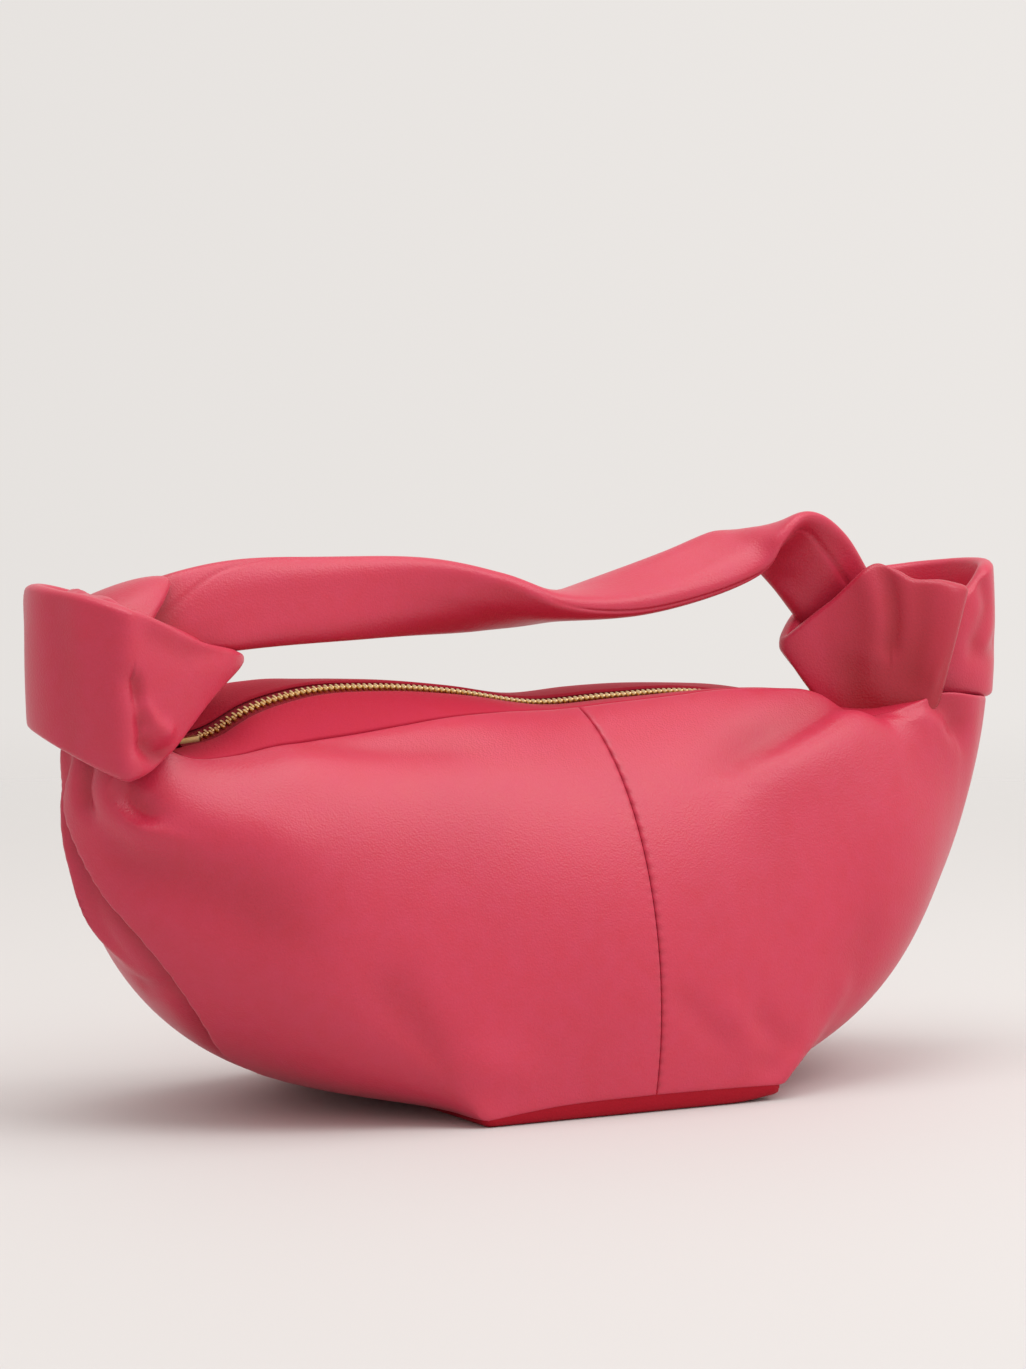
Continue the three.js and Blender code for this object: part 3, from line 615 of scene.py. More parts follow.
def brass_material(name, colour):
    """Polished pale brass with faint scratches and duller patches."""
    shader = Shader(bpy.data.materials.new(name))
    place = shader.place()
    patches = shader.noise(place, scale=260, detail=3)
    scratches = shader.noise(place, scale=1800, detail=2)
    tone = shader.mix(patches, shaded(colour, 0.95), PALE_BRASS)
    relief = shader.bump(scratches, strength=0.08, distance=0.0002)
    return shader.set(Base_Color=tone, Metallic=1.0, Roughness=0.22 + patches * 0.16, Normal=relief)


def board_material(name, colour):
    """Pressed fibre board with speckles."""
    shader = Shader(bpy.data.materials.new(name))
    specks = shader.noise(shader.place(), scale=700, detail=5, roughness=0.7)
    tone = shader.mix(specks, shaded(colour, 0.7), shaded(colour, 1.2))
    relief = shader.bump(specks, strength=0.2, distance=0.0003)
    return shader.set(Base_Color=tone, Roughness=0.75 + specks * 0.2, Normal=relief)


MATERIALS = {}


def finish_for(slot):
    """The material of one of the record's slots, or the matt leather of the facings, made on first use."""
    colours = bpy.context.scene.bag_colours
    # The base leather darkened and reddened as painted shade, since it lies under the bag
    base = tinted(colours.base_leather, BASE_SHADE_TINT)
    makers = {
        "leather": lambda: leather_material("leather", colours.leather),
        "base_leather": lambda: leather_material("base_leather", base, roughness=0.55, gloss=0.15),
        "facing": lambda: leather_material("facing_leather", colours.leather, roughness=0.6, gloss=0.12),
        "lining": lambda: cloth_material("lining", colours.lining),
        "zip_tape": lambda: cloth_material("zip_tape", colours.zip_tape, threads=1300),
        "brass": lambda: brass_material("brass", colours.brass),
        "board": lambda: board_material("board", colours.board),
        "foam": lambda: cloth_material("foam", colours.foam, threads=500),
    }
    if slot not in MATERIALS:
        MATERIALS[slot] = makers[slot]()
    return MATERIALS[slot]


def finish_node(node, slot):
    """Gives a solid of the frame that shows as it is one of the materials."""
    materials = frame["nodes"][node].data.materials
    materials.clear()
    materials.append(finish_for(slot))


# Settings

def colour_property(name, slot, description):
    """Colour that starts as the record's colour of a slot."""
    return FloatVectorProperty(
        name=name, description=description, subtype="COLOR", size=3, min=0, max=1,
        default=[part ** GAMMA for part in RECORD_COLOURS[slot]],
    )


def size_property(name, description, millimetres):
    """Length that starts at a number of millimetres."""
    return FloatProperty(
        name=name, description=description, unit="LENGTH", subtype="DISTANCE", min=0,
        default=millimetres * MM,
    )


class BagSizes(bpy.types.PropertyGroup):
    """Sizes of the soft pieces."""

    leather: size_property("Leather", "Thickness of the body leather", 1.6)
    lining: size_property("Lining", "Thickness of the lining cloth", 0.8)
    wrap: size_property("Wrap", "Padded thickness of the knots' wraps", 5.5)
    strap_width: size_property("Strap width", "Width of the flattened strap", 28)
    strap_thickness: size_property("Strap thickness", "Thickness of the flattened strap", 11)
    tooth_pitch: size_property("Tooth pitch", "Distance between teeth of one row", 2.1)


FLOOR_COLOUR = (0.65, 0.632, 0.622)


class BagColours(bpy.types.PropertyGroup):
    """Colours of the finishes."""

    leather: colour_property("Leather", "leather", "Body, knots and strap")
    base_leather: colour_property("Base leather", "base_leather", "Leather under the bag")
    lining: colour_property("Lining", "lining", "Cloth inside the bag")
    zip_tape: colour_property("Zip tape", "zip_tape", "Woven tape of the zip")
    brass: colour_property("Brass", "brass", "Teeth, stops, slider and pull")
    board: colour_property("Board", "board", "Stiffening board")
    foam: colour_property("Filler", "foam", "Soft core of the strap")
    floor: FloatVectorProperty(
        name="Floor", description="Floor and surroundings", subtype="COLOR", size=3, min=0, max=1,
        default=FLOOR_COLOUR,
    )


def sizes():
    """The sizes in millimetres, by name."""
    group = bpy.context.scene.bag_sizes
    return {name: getattr(group, name) / MM for name in BagSizes.__annotations__}


# Body

# Finer columns beside the seams and finer rows beside the edges
FINE_SEAM = (0.004, 0.009, 0.016, 0.026, 0.038)
FINE_EDGE = (0.002, 0.004, 0.007)
# Where the gathered end of a panel begins, and the stretch of its fall with the small folds
GATHERED_FROM = 2
UPPER_FOLDS = (0.012, 0.34)
PLAIN_COLUMNS, GATHERED_COLUMNS = 42, 64
UPPER_ROWS, LOWER_ROWS = 40, 42
# Half the gap between two panels at a seam, on their run
SEAM_HALF = 0.001
# How far from the seam its stitches show, and how far in the panels' edges are rolled
STITCH_REACH = 1.3
PANEL_ROLL = 1.4
# Depth of a fold that would be wholly in painted shade, and how much painted shade a fold takes at most
DEEP_FOLD, DEEPEST = 9, 0.6
# How far below the front's leather the back's edge is sewn to it, in the pleat at the left, and the lines there
TUCK_DEPTH = 1.5
TUCK_LINES = (0.33, 0.67, 1)


def panel_steps(from_middle, to_keel):
    """Columns from the centre seam to a side seam, closer together over the gathered end and at both seams."""
    sign = np.sign(to_keel)
    fine = sign * np.array(FINE_SEAM)
    gathered = sign * GATHERED_FROM
    plain = np.linspace(from_middle, gathered, PLAIN_COLUMNS)
    close = np.linspace(gathered, to_keel, GATHERED_COLUMNS)
    places = np.unique(np.concatenate([plain, close, from_middle + fine, to_keel - fine[:2]]))
    return places if sign > 0 else places[::-1]


def fall_steps():
    """Rows from the rim to the hem, closer together over the upper folds and at both edges."""
    fine = np.array(FINE_EDGE)
    upper = np.linspace(*UPPER_FOLDS, UPPER_ROWS)
    lower = np.linspace(UPPER_FOLDS[1], 1, LOWER_ROWS)
    return np.unique(np.concatenate([[0], fine, upper, lower, 1 - fine]))


class BAG_OT_panels(bpy.types.Operator):
    """Makes the four soft body panels with their seams and folds."""

    bl_idname = "bag.panels"
    bl_label = "Body panels"

    def execute(self, context):
        thickness = sizes()["leather"]
        for name, side, end in [
            ("front_panel_right", FRONT, KEEL), ("front_panel_left", FRONT, -KEEL),
            ("back_panel_right", BACK, KEEL), ("back_panel_left", BACK, -KEEL),
        ]:
            sign = np.sign(end)
            columns = panel_steps(sign * SEAM_HALF, end - sign * SEAM_HALF)
            surface, normals, lift = panel_surface(columns, fall_steps(), side)
            if name == "back_panel_left":
                tuck = self.tuck_under_front(columns, surface[-1])
                surface = np.concatenate([surface, tuck])
                normals = grid_normals(surface)
                lift = np.concatenate([lift, np.repeat(lift[-1:], len(tuck), axis=0)])
                columns = np.concatenate([columns, np.repeat(columns[-1:], len(tuck))])
            points, faces = sheet_mesh(*rolled(surface, normals, thickness, PANEL_ROLL))
            # Painted shade in the folds' valleys, deeper where they sink further
            dark = np.clip(-lift / DEEP_FOLD, 0, DEEPEST)
            seam = np.repeat(hill(columns * BASE_HALF, 0, STITCH_REACH), lift.shape[1])
            piece = make_piece(name + "_leather", points, faces, finish_for("leather"),
                               both_sides(dark), seam=both_sides(seam))
            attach(piece, "bag")
            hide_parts(name)
        return {"FINISHED"}

    def tuck_under_front(self, columns, edge):
        """Lines that carry the back's left edge on, under the front's edge that stands over it."""
        front, normals, _ = panel_surface(columns, fall_steps(), FRONT)
        under = front[-1] - normals[-1] * TUCK_DEPTH
        return np.stack([edge + (under - edge) * share for share in TUCK_LINES])


# Base: rings of the tray's outside and inside and of the cloth, as distance in from its edge and height
TRAY_OUTSIDE = [(0, 7.6), (0, 4.5), (0, 2.2), (0.5, 0.9), (1.6, 0.2), (3.2, 0), (30, 0.3), (50, 0.3)]
TRAY_INSIDE = [(1.4, 7.6), (1.4, 4.5), (1.4, 3.0), (1.8, 2.2), (2.4, 1.8), (3.6, 1.6), (30, 1.9), (50, 1.9)]
BASE_CLOTH = [(0, 0.1), (0.3, 0.7), (4, 0.85), (30, 0.7), (50, 0.75)]
TRAY_INSET = 0.4
TRAY_CORNER, CLOTH_CORNER, LEAST_CORNER = 2.5, 10, 1
BASE_POINTS = 239
CORNER_STEPS = 9
# Height where the tray's wall turns into its floor, and the least height of its inside there
WALL_FOOT, WALL_FOOT_INSIDE = 2.2, 2.4
# How far the tray's wall reaches up behind the panels
WALL_OVERLAP = 1.5
# Painted shade over the whole base tray, under the bag
BASE_SHADE = 0.25
# How far the base's front right corner turns up from the floor, and over which distance
CORNER_RISE, CORNER_REACH = 1.9, 11


class BAG_OT_base(bpy.types.Operator):
    """Makes the boxed base: leather tray, stiffening board and base lining."""

    bl_idname = "bag.base"
    bl_label = "Base"

    def execute(self, context):
        self.make_tray()
        finish_node("base_board", "board")
        self.make_cloth()
        return {"FINISHED"}

    def make_tray(self):
        half = np.array([BASE_HALF, DEPTH_HALF]) - TRAY_INSET
        outer = stacked_rings(half, TRAY_CORNER, TRAY_OUTSIDE, 0)
        inner = stacked_rings(half, TRAY_CORNER, TRAY_INSIDE, 0)
        outer[0, :, 2] = wall_top(outer[0])
        outer[1, :, 2] = WALL_FOOT + (outer[0, :, 2] - WALL_FOOT) / 2
        inner[0, :, 2] = outer[0, :, 2]
        inner[1, :, 2] = np.maximum(outer[1, :, 2], WALL_FOOT_INSIDE)
        for rings in (outer, inner):
            rings[2:, :, 2] += corner_lift(rings[2:])
        points, faces = loop_sheet(outer, inner)
        # Painted shade over the whole tray
        piece = make_piece("base_leather_tray", points, faces, finish_for("base_leather"),
                           np.full(len(points), BASE_SHADE))
        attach(piece, "bag")
        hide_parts("base_panel")

    def make_cloth(self):
        low, high = node_box("lining_base")
        cloth = stacked_rings(high, CLOTH_CORNER, BASE_CLOTH, low[2])
        under = cloth * [1, 1, 0] + [0, 0, low[2]]
        points, faces = loop_sheet(cloth, under)
        lining = make_piece("lining_base_cloth", points, faces, finish_for("lining"))
        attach(lining, "bag")
        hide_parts("lining_base")


def stacked_rings(half, corner, steps, floor):
    """Rounded rectangles, one for each step of distance in and height over a floor."""
    return np.array([
        rounded_ring(half[0] - inset, half[1] - inset, max(corner - inset, LEAST_CORNER), floor + height)
        for inset, height in steps
    ])


def rounded_ring(half_x, half_y, corner, height):
    """Points round a rectangle with rounded corners."""
    around = np.linspace(0, 1, BASE_POINTS + 1)[:-1]
    straight_x, straight_y = half_x - corner, half_y - corner
    turns = np.linspace(0, np.pi / 2, CORNER_STEPS)
    points = []
    for quarter, (sx, sy) in enumerate([(1, 1), (-1, 1), (-1, -1), (1, -1)]):
        angles = turns + quarter * np.pi / 2
        corner_x = sx * straight_x + corner * np.cos(angles)
        corner_y = sy * straight_y + corner * np.sin(angles)
        points += list(zip(corner_x, corner_y))
    points = np.array(points + points[:1])
    lengths = np.concatenate([[0], np.cumsum(np.linalg.norm(np.diff(points, axis=0), axis=1))])
    at = around * lengths[-1]
    x = np.interp(at, lengths, points[:, 0])
    y = np.interp(at, lengths, points[:, 1])
    return np.column_stack([x, y, np.full(len(x), height)])


def corner_lift(points):
    """How far the base's front right corner turns up from the floor."""
    away = np.hypot(points[..., 0] - BASE_HALF, points[..., 1] + DEPTH_HALF)
    return CORNER_RISE * hill(away, 0, CORNER_REACH)


def wall_top(ring):
    """Height of the tray's wall: up to the panels' lower edge on the front, low elsewhere."""
    along = ring[:, 0] / BASE_HALF
    across = np.abs(ring[:, 1]) / DEPTH_HALF
    u = np.where(across > np.abs(along), along, np.sign(along) * (KEEL - (KEEL - 1) * across))
    return np.where(ring[:, 1] < 0, level(FRONT_HEM, u), HEM) + WALL_OVERLAP


def loop_sheet(outer, inner):
    """Closed solid between two stacks of rings, shut at the last ring of each by a fan."""
    rows, columns = outer.shape[:2]
    count = rows * columns
    points = [outer.reshape(-1, 3), inner.reshape(-1, 3)]
    faces = [grid_faces(rows, columns, 0, wrap_columns=True)]
    faces.append(grid_faces(rows, columns, count, wrap_columns=True)[:, ::-1])
    first = np.arange(columns)
    after = np.roll(first, -1)
    faces.append(np.stack([first, after, after + count, first + count], axis=-1)[:, ::-1])
    faces = [list(face) for block in faces for face in block]
    faces.append(list(first + count - columns))
    faces.append(list(first + 2 * count - columns)[::-1])
    return np.concatenate(points), faces


# Lining: its stretch of the panels' run and fall with the count of columns and rows, then the pocket's
LINING_RUN, LINING_FALL = (-2.97, 2.97, 90), (0.06, 0.985, 40)
POCKET_RUN, POCKET_FALL = (-0.62, 0.62, 40), (0.34, 0.72, 26)
LINING_GAP, POCKET_GAP = 0.5, 0.4


class BAG_OT_lining(bpy.types.Operator):
    """Makes the lining inside the panels and the slip pocket on its back."""

    bl_idname = "bag.lining"
    bl_label = "Lining and pocket"

    def execute(self, context):
        size = sizes()
        depth = size["leather"] + LINING_GAP
        pocket_depth = depth + size["lining"] + POCKET_GAP
        jobs = [
            ("lining_front", FRONT, LINING_RUN, LINING_FALL, depth),
            ("lining_back", BACK, LINING_RUN, LINING_FALL, depth),
            ("inner_pocket", BACK, POCKET_RUN, POCKET_FALL, pocket_depth),
        ]
        for name, side, run, fall, sunk in jobs:
            surface, normals, _ = panel_surface(np.linspace(*run), np.linspace(*fall), side, sunk)
            points, faces = sheet_mesh(surface, surface - normals * size["lining"])
            piece = make_piece(name + "_cloth", points, faces, finish_for("lining"))
            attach(piece, "bag")
            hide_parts(name)
        return {"FINISHED"}


# Zip

# Inner edges of the tapes and facings from the zip's middle, and how far the tapes reach under the facings
TAPE_INNER = 0.15
FACING_INNER = 5.2
TAPE_UNDER_FACING = 2.4
# The tapes' drop below the teeth's middle, at their inner edge and more to the outer edge, and their thickness
TAPE_DROP, TAPE_FALL, TAPE_THICKNESS = 0.3, 0.25, 0.5
TAPE_STEPS, TAPE_ROWS = 120, 7
# The facings: stretch past the tapes, steps along and across with finer ones at the edges, and thickness
FACING_PAST = 8
FACING_STEPS, FACING_FINE_STEPS = 130, (0.3, 0.8, 1.5)
FACING_ROWS, FACING_FINE_ROWS = 14, (0.02, 0.05, 0.1)
FACING_THICKNESS, FACING_ROLL = 1.5, 1
# Their inner edge's height over the teeth's middle, and how far in and down they meet the panel's edge
FACING_RISE, FACING_IN, FACING_DOWN = 0.9, 0.3, 0.2
# Their crown on level ground, and more of it for each millimetre that they slope
FACING_CROWN, FACING_CROWN_SLOPE = 0.5, 0.1
# Painted shade of the facings beside the zip, where they lie in shadow, and how much of it is lost towards the
# panel
FACING_SHADE = {"front": 0.5, "back": 0.65}
FACING_SHADE_LOST = 0.5
# Stretch of the panels' upper edge that the facings follow, and the rows that its shape is read from
RIM_REACH, RIM_STEPS, RIM_ROWS = 2.4, 160, (0, 0.004, 0.01)


def mouth_strip(side, x, share):
    """Points of the mouth between the zip, share 0, and the panel's upper edge, share 1."""
    rim = panel_surface(np.linspace(-RIM_REACH, RIM_REACH, RIM_STEPS), np.array(RIM_ROWS), side)[0][:, 0]
    edge = np.stack([np.interp(x, rim[:, 0], rim[:, 1]), np.interp(x, rim[:, 0], rim[:, 2])], axis=-1)
    inner_y = np.broadcast_to(side * FACING_INNER, x.shape)
    inner = np.stack([inner_y, zip_height(x) + FACING_RISE + inner_y * np.sin(level(ZIP_ROLL, x))], axis=-1)
    outer = np.stack([edge[..., 0] - side * FACING_IN, edge[..., 1] - FACING_DOWN], axis=-1)
    t = share[..., None]
    crown = np.stack([np.zeros(x.shape), 4 * share * (1 - share)], axis=-1)
    slope = np.abs(outer[..., 1:] - inner[..., 1:])
    across = inner + (outer - inner) * t + crown * (FACING_CROWN + FACING_CROWN_SLOPE * slope)
    return np.stack([x, across[..., 0], across[..., 1]], axis=-1)


# Teeth: sections across the zip as place, half length and height, and the section's corners
TOOTH_SECTIONS = [(-0.6, 0.42, 0.75), (-0.4, 0.5, 0.95), (0.6, 0.52, 1.0), (1.7, 0.5, 1.0), (2.2, 0.42, 0.9)]
TOOTH_CORNERS = [(-1, -0.6), (-0.6, -1), (0.6, -1), (1, -0.6), (1, 0.6), (0.6, 1), (-0.6, 1), (-1, 0.6)]
# How far the rounded ends stand out past the first and the last section
TOOTH_NOSE, TOOTH_HEEL = 0.12, 0.1
# Place of the first tooth of each row, as a share of the pitch
TOOTH_START = {"front": 0.25, "back": 0.75}
# Angle from which the teeth's edges look sharp, in degrees
TOOTH_SHARP = 40


class BAG_OT_zip(bpy.types.Operator):
    """Makes the zip: leather facings, tapes, teeth, stops, slider and pull."""

    bl_idname = "bag.zip"
    bl_label = "Zip"

    def execute(self, context):
        for label, side in [("front", FRONT), ("back", BACK)]:
            self.make_facing(label, side)
            self.make_tape(label, side)
            self.make_teeth(label, side)
        for node in ("zip_bottom_stop", "zip_top_stop_front", "zip_top_stop_back", "zip_slider", "zip_pull"):
            finish_node(node, "brass")
        return {"FINISHED"}

    def make_facing(self, label, side):
        steps = spread(ZIP_START - FACING_PAST, ZIP_END + FACING_PAST, FACING_STEPS, FACING_FINE_STEPS)
        shares = spread(0, 1, FACING_ROWS, FACING_FINE_ROWS)
        x, share = np.meshgrid(steps, shares, indexing="ij")
        surface = mouth_strip(side, x, share)
        normals = grid_normals(surface)
        normals = np.where(normals[..., 2:] < 0, -normals, normals)
        points, faces = sheet_mesh(*rolled(surface, normals, FACING_THICKNESS, FACING_ROLL))
        # Painted shade, deepest beside the zip
        shade = FACING_SHADE[label] * (1 - FACING_SHADE_LOST * share ** 2)
        name = f"zip_facing_{label}"
        piece = make_piece(name + "_leather", points, faces, finish_for("facing"), both_sides(shade))
        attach(piece, "bag")
        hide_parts(name)

    def make_tape(self, label, side):
        steps = np.linspace(ZIP_START, ZIP_END, TAPE_STEPS)
        shares = np.linspace(0, 1, TAPE_ROWS)
        x, share = np.meshgrid(steps, shares, indexing="ij")
        y = side * (TAPE_INNER + share * (FACING_INNER + TAPE_UNDER_FACING - TAPE_INNER))
        z = zip_height(x) - TAPE_DROP - TAPE_FALL * share + y * np.sin(level(ZIP_ROLL, x))
        surface = np.stack([x, y, z], axis=-1)
        points, faces = sheet_mesh(surface, surface - [0, 0, TAPE_THICKNESS])
        name = f"zip_tape_{label}"
        piece = make_piece(name + "_woven", points, faces, finish_for("zip_tape"))
        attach(piece, "bag")
        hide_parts(name)

    def make_teeth(self, label, side):
        pitch = sizes()["tooth_pitch"]
        count = int((CHAIN_END - CHAIN_START) / pitch)
        start = CHAIN_START + pitch * TOOTH_START[label]
        places = start + pitch * np.arange(count)
        tooth, tooth_faces = tooth_shape(side)
        points, faces = [], []
        for x in places:
            angle = np.arctan((zip_height(x + 1) - zip_height(x - 1)) / 2)
            turn = Matrix.Rotation(-angle, 3, "Y") @ Matrix.Rotation(level(ZIP_ROLL, x), 3, "X")
            faces.append(tooth_faces + len(points) * len(tooth))
            points.append(tooth @ np.array(turn).T + [x, 0, zip_height(x)])
        name = f"zip_teeth_{label}"
        piece = make_piece(name + "_brass", np.concatenate(points), np.concatenate(faces), finish_for("brass"),
                           sharp=TOOTH_SHARP)
        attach(piece, "bag")
        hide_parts(name)


def tooth_shape(side):
    """One tooth that clasps the tape and reaches over the middle, with eased edges."""
    points = [
        (half * along, side * across, tall * up)
        for across, half, tall in TOOTH_SECTIONS for along, up in TOOTH_CORNERS
    ]
    rows, columns = len(TOOTH_SECTIONS), len(TOOTH_CORNERS)
    faces = [tuple(face) for face in grid_faces(rows, columns, wrap_columns=True)]
    points.append((0, side * (TOOTH_SECTIONS[0][0] - TOOTH_NOSE), 0))
    points.append((0, side * (TOOTH_SECTIONS[-1][0] + TOOTH_HEEL), 0))
    near, far = rows * columns, rows * columns + 1
    last = (rows - 1) * columns
    quads = []
    for i in range(0, columns, 2):
        j, k = (i + 1) % columns, (i + 2) % columns
        quads.append((near, i, j, k))
        quads.append((far, last + k, last + j, last + i))
    faces = np.array(faces + quads)
    if side == FRONT:
        faces = faces[:, ::-1]
    return np.array(points), faces


# Knots: plan and heights of each wrap's stations, as outward from the knot, across, lower and upper edge.
# The left wrap is a closed ring, and the right one has two ends and numbered stations.

LEFT_WRAP = [
    (-37, 0, 149.5, 154), (-31, -11, 146, 155.5), (-16, -21, 136.3, 158.8), (1, -28.5, 121.5, 165.8),
    (13, -31.6, 115.8, 170.3), (19, -30.2, 115.8, 172), (27, -21, 120.3, 174.7), (32, -9, 124.6, 176),
    (33.8, 4, 128, 177), (31, 17, 129, 177), (21, 27, 127, 176), (4, 30, 125, 172), (-14, 24, 132, 166),
    (-29, 13, 145.5, 159),
]
RIGHT_WRAP = [
    (0, 9.5, -34.5, 127, 170), (1, -1, -33.5, 122, 172.2), (2, -11, -29.5, 117, 172.6), (3, -17, -25, 116, 176),
    (4, -24, -20, 117, 177.3), (5, -35, -11, 124.8, 164.5), (6, -47, 0, 144.5, 152.5), (7, -36, 12, 139, 160),
    (8, -16, 24, 126, 167), (9, 6, 31, 119, 173), (10, 23, 28, 121, 175.3), (11, 34, 16, 126, 177),
    (12, 37, 2, 128, 178), (13, 34, -12, 128.5, 178), (14, 25, -23.5, 129, 175.5), (15, 12, -27.3, 130, 167),
    (16, 0, -26, 130.5, 165), (17, -10, -22, 131, 163),
]
# Steps along each wrap, and how far its outside is puffed out
LEFT_STEPS, RIGHT_STEPS = 220, 240
WRAP_PUFF = 0.9
# Angle from which the edges of the knots and the strap look sharp, in degrees
SOFT_SHARP = 70
# Rounded edges of a wrap's section, and the steps up its outer side and round each edge
EDGE_ROUNDING, LARGEST_ROUNDING = 2.2, 1 / 3
SIDE_STEPS, INNER_STRIDE, BEND_STEPS = 26, 3, 9
# How far the foot of the right wrap's leaf slants in, up to the station where the leaf stands upright
LEAF_SLANT, LEAF_UPRIGHT = 13, 2.5
# Rings from either end of the right wrap that close it, with the share of their width, and the height they keep
LEAF_ENDS = [(0, 0.3), (1, 0.72), (2, 0.92), (-1, 0.3), (-2, 0.72), (-3, 0.92)]
LEAF_END_HEIGHT = 0.94
# Painted shade of the leaf, which lies in the strap's shadow: where it sets in, how strong it is at the top, more
# of it at the foot, and its limit
LEAF_SHADE_STATIONS = (5.4, 4.2)
LEAF_SHADE, LEAF_FOOT_SHADE, LEAF_DEEPEST = 0.35, 0.5, 0.85
# Depth of a wrap's fold that would be wholly in painted shade, and how much painted shade it takes at most
WRAP_DEEP_FOLD, WRAP_DEEPEST = 6, 0.5
# Stations of the right wrap that go once round the gathered leather
LOOP_START, LOOP_END = 2.5, 14
# Folds of the wraps: course as (station, share of the height) places, height, width before and after
LEFT_WRAP_FOLDS = [
    ([(4.8, 1), (4.85, 0.6), (5, 0.25), (4.6, 0.02)], 1.4, 5, 7),
    ([(4.2, 0.58), (4.02, 0.46), (3.85, 0.34)], -3.2, 2.4, 3.6),
    ([(3.85, 0.42), (3.45, 0.31), (3.1, 0.22)], 2.4, 3, 3.4),
    ([(3.8, 0.2), (3.5, 0.14), (3.2, 0.08)], -3, 3.5, 3.5),
    ([(4, 0.05), (4.3, 0.1), (4.6, 0.04)], 1.2, 4, 4),
    ([(1.5, 0.9), (2.4, 0.8), (3.4, 0.86)], -1, 4, 5),
    ([(6.5, 0.1), (6.6, 0.5), (6.9, 0.9)], -0.8, 7, 7),
    ([(11, 0.1), (11.4, 0.5), (11.2, 0.9)], -2, 6, 6),
    ([(9.4, 0.9), (9.8, 0.5), (9.6, 0.1)], 1.5, 6, 6),
]
RIGHT_WRAP_FOLDS = [
    ([(3.4, 1), (3.1, 0.84), (3, 0.7), (3.1, 0.55)], -1.7, 3, 4.5),
    ([(4.2, 0.97), (3.9, 0.8), (3.75, 0.62), (3.85, 0.48)], 1.3, 4, 5),
    ([(1.8, 1), (1.7, 0.7), (2, 0.4)], -1.2, 6, 6),
    ([(0.6, 0.9), (0.5, 0.6), (0.8, 0.3)], 1, 4, 4),
    ([(4.6, 0.4), (4.2, 0.2), (3.4, 0.1)], -0.8, 6, 7),
    ([(14.3, 0.9), (14.2, 0.7), (14.6, 0.5)], -1.6, 4, 4),
    ([(13.6, 0.4), (14.2, 0.34), (14.7, 0.4)], -1.2, 4, 4),
    ([(9.6, 0.9), (10, 0.5), (9.7, 0.1)], -2, 6, 6),
    ([(11.5, 0.9), (11.2, 0.5), (11.6, 0.1)], 1.5, 6, 6),
]
WRAP_FOLD_POINTS = 30
# Edges of the lobe over the strap's left root, from the front over the top to the back
COLLAR_RIGHT = [
    (0, -153, -21, 156), (0.2, -150.5, -17.5, 165), (0.38, -142.5, -10.5, 174), (0.5, -137.8, -3, 178.5),
    (0.62, -137.8, 5, 178.5), (0.8, -145, 16, 171), (1, -152, 20, 158),
]
COLLAR_LEFT = [
    (0, -172, -19, 155), (0.2, -171, -16, 164), (0.38, -169, -9, 170), (0.5, -167.5, -3, 171.8),
    (0.62, -167.5, 5, 171.8), (0.8, -168, 14, 168), (1, -171, 18, 156),
]
COLLAR_STEPS, COLLAR_ROWS, COLLAR_FINE_ROWS = 60, 24, (0.01, 0.025, 0.05)
# The lobe's swell and its painted shade towards the left, in the recess beside the wrap, each with the power that
# it follows
COLLAR_SWELL, COLLAR_SWELL_POWER = 1.8, 0.7
COLLAR_SHADE, COLLAR_SHADE_POWER = 0.55, 1.5
# Thickness and rolled edge of the lobe and of the leather that turns in
LIP_THICKNESS, LIP_ROLL = 3, 1.6
# Lumps of the gathered leather inside each wrap: place outward from the knot, width, rise
LEFT_LUMPS = [(27, 5, 1.6), (15, 4.5, 3.6), (4, 5, 1), (-8, 6, 1)]
RIGHT_LUMPS = [(24, 6, 3), (8, 5, 2.5), (-6, 6, 3), (-20, 6, -3)]
# Across the bag the lumps slant outward by this much, and they fade out between these two drops below the top
LUMP_SLANT = 0.15
LUMP_DROPS = (12, 2)
# Rings of the gathered leather: share of the wrap's plan, and drop below the top
CROWN_RINGS = [
    (0.45, 46), (0.6, 30), (0.72, 14), (0.74, 6), (0.7, 2.5), (0.62, 0.8), (0.52, 0.2), (0.42, 0.1),
    (0.32, 0.2), (0.22, 0.4), (0.12, 0.6), (0.04, 0.7),
]
CROWN_FLOOR = 121
# How far the gathered leather's top lies below the wrap's upper edge
LEFT_CROWN_DEPTH, RIGHT_CROWN_DEPTH = 0.3, 13
# How much wider the gathered leather is at the outer end of its knot than at the tip, and where it widens
CROWN_SPREAD = 0.28
CROWN_WIDENS = (-4, 14)
# Least place outward of the left plug from a drop on, which leaves room for the zip's pull to swing
PULL_ROOM = -9
PULL_ROOM_DROP = 30
# Leather that turns in from the lip of the right end: angle about the knot in degrees, inner and outer reach
TURN_IN = [
    (-96, 12, 31.5), (-80, 13, 32.3), (-60, 15, 32.8), (-45, 19, 31.8), (-30, 22, 29), (-15, 23, 26.6),
    (0, 23, 26.2), (18, 23, 24.4),
]
TURN_IN_STEPS, TURN_IN_ROWS = 60, 14
TURN_IN_LOW = 120.5
TURN_IN_RISE = 5
# Painted shade over the whole turned-in leather, deep in the knot
TURN_IN_SHADE = 0.45


def wrap_section(low, high, thickness):
    """Closed section of a padded band with rounded edges: across its thickness and up, outer side first."""
    radius = min(EDGE_ROUNDING, (high - low) * LARGEST_ROUNDING)
    half = thickness / 2
    outer = np.linspace(low + radius, high - radius, SIDE_STEPS)
    inner = outer[::-INNER_STRIDE]
    bend = np.linspace(0, np.pi, BEND_STEPS)[1:-1]
    over, rise = half * np.cos(bend), radius * np.sin(bend)
    across = np.concatenate([np.full(len(outer), half), over, np.full(len(inner), -half), -over])
    up = np.concatenate([outer, high - radius + rise, inner, low + radius - rise])
    return across, up


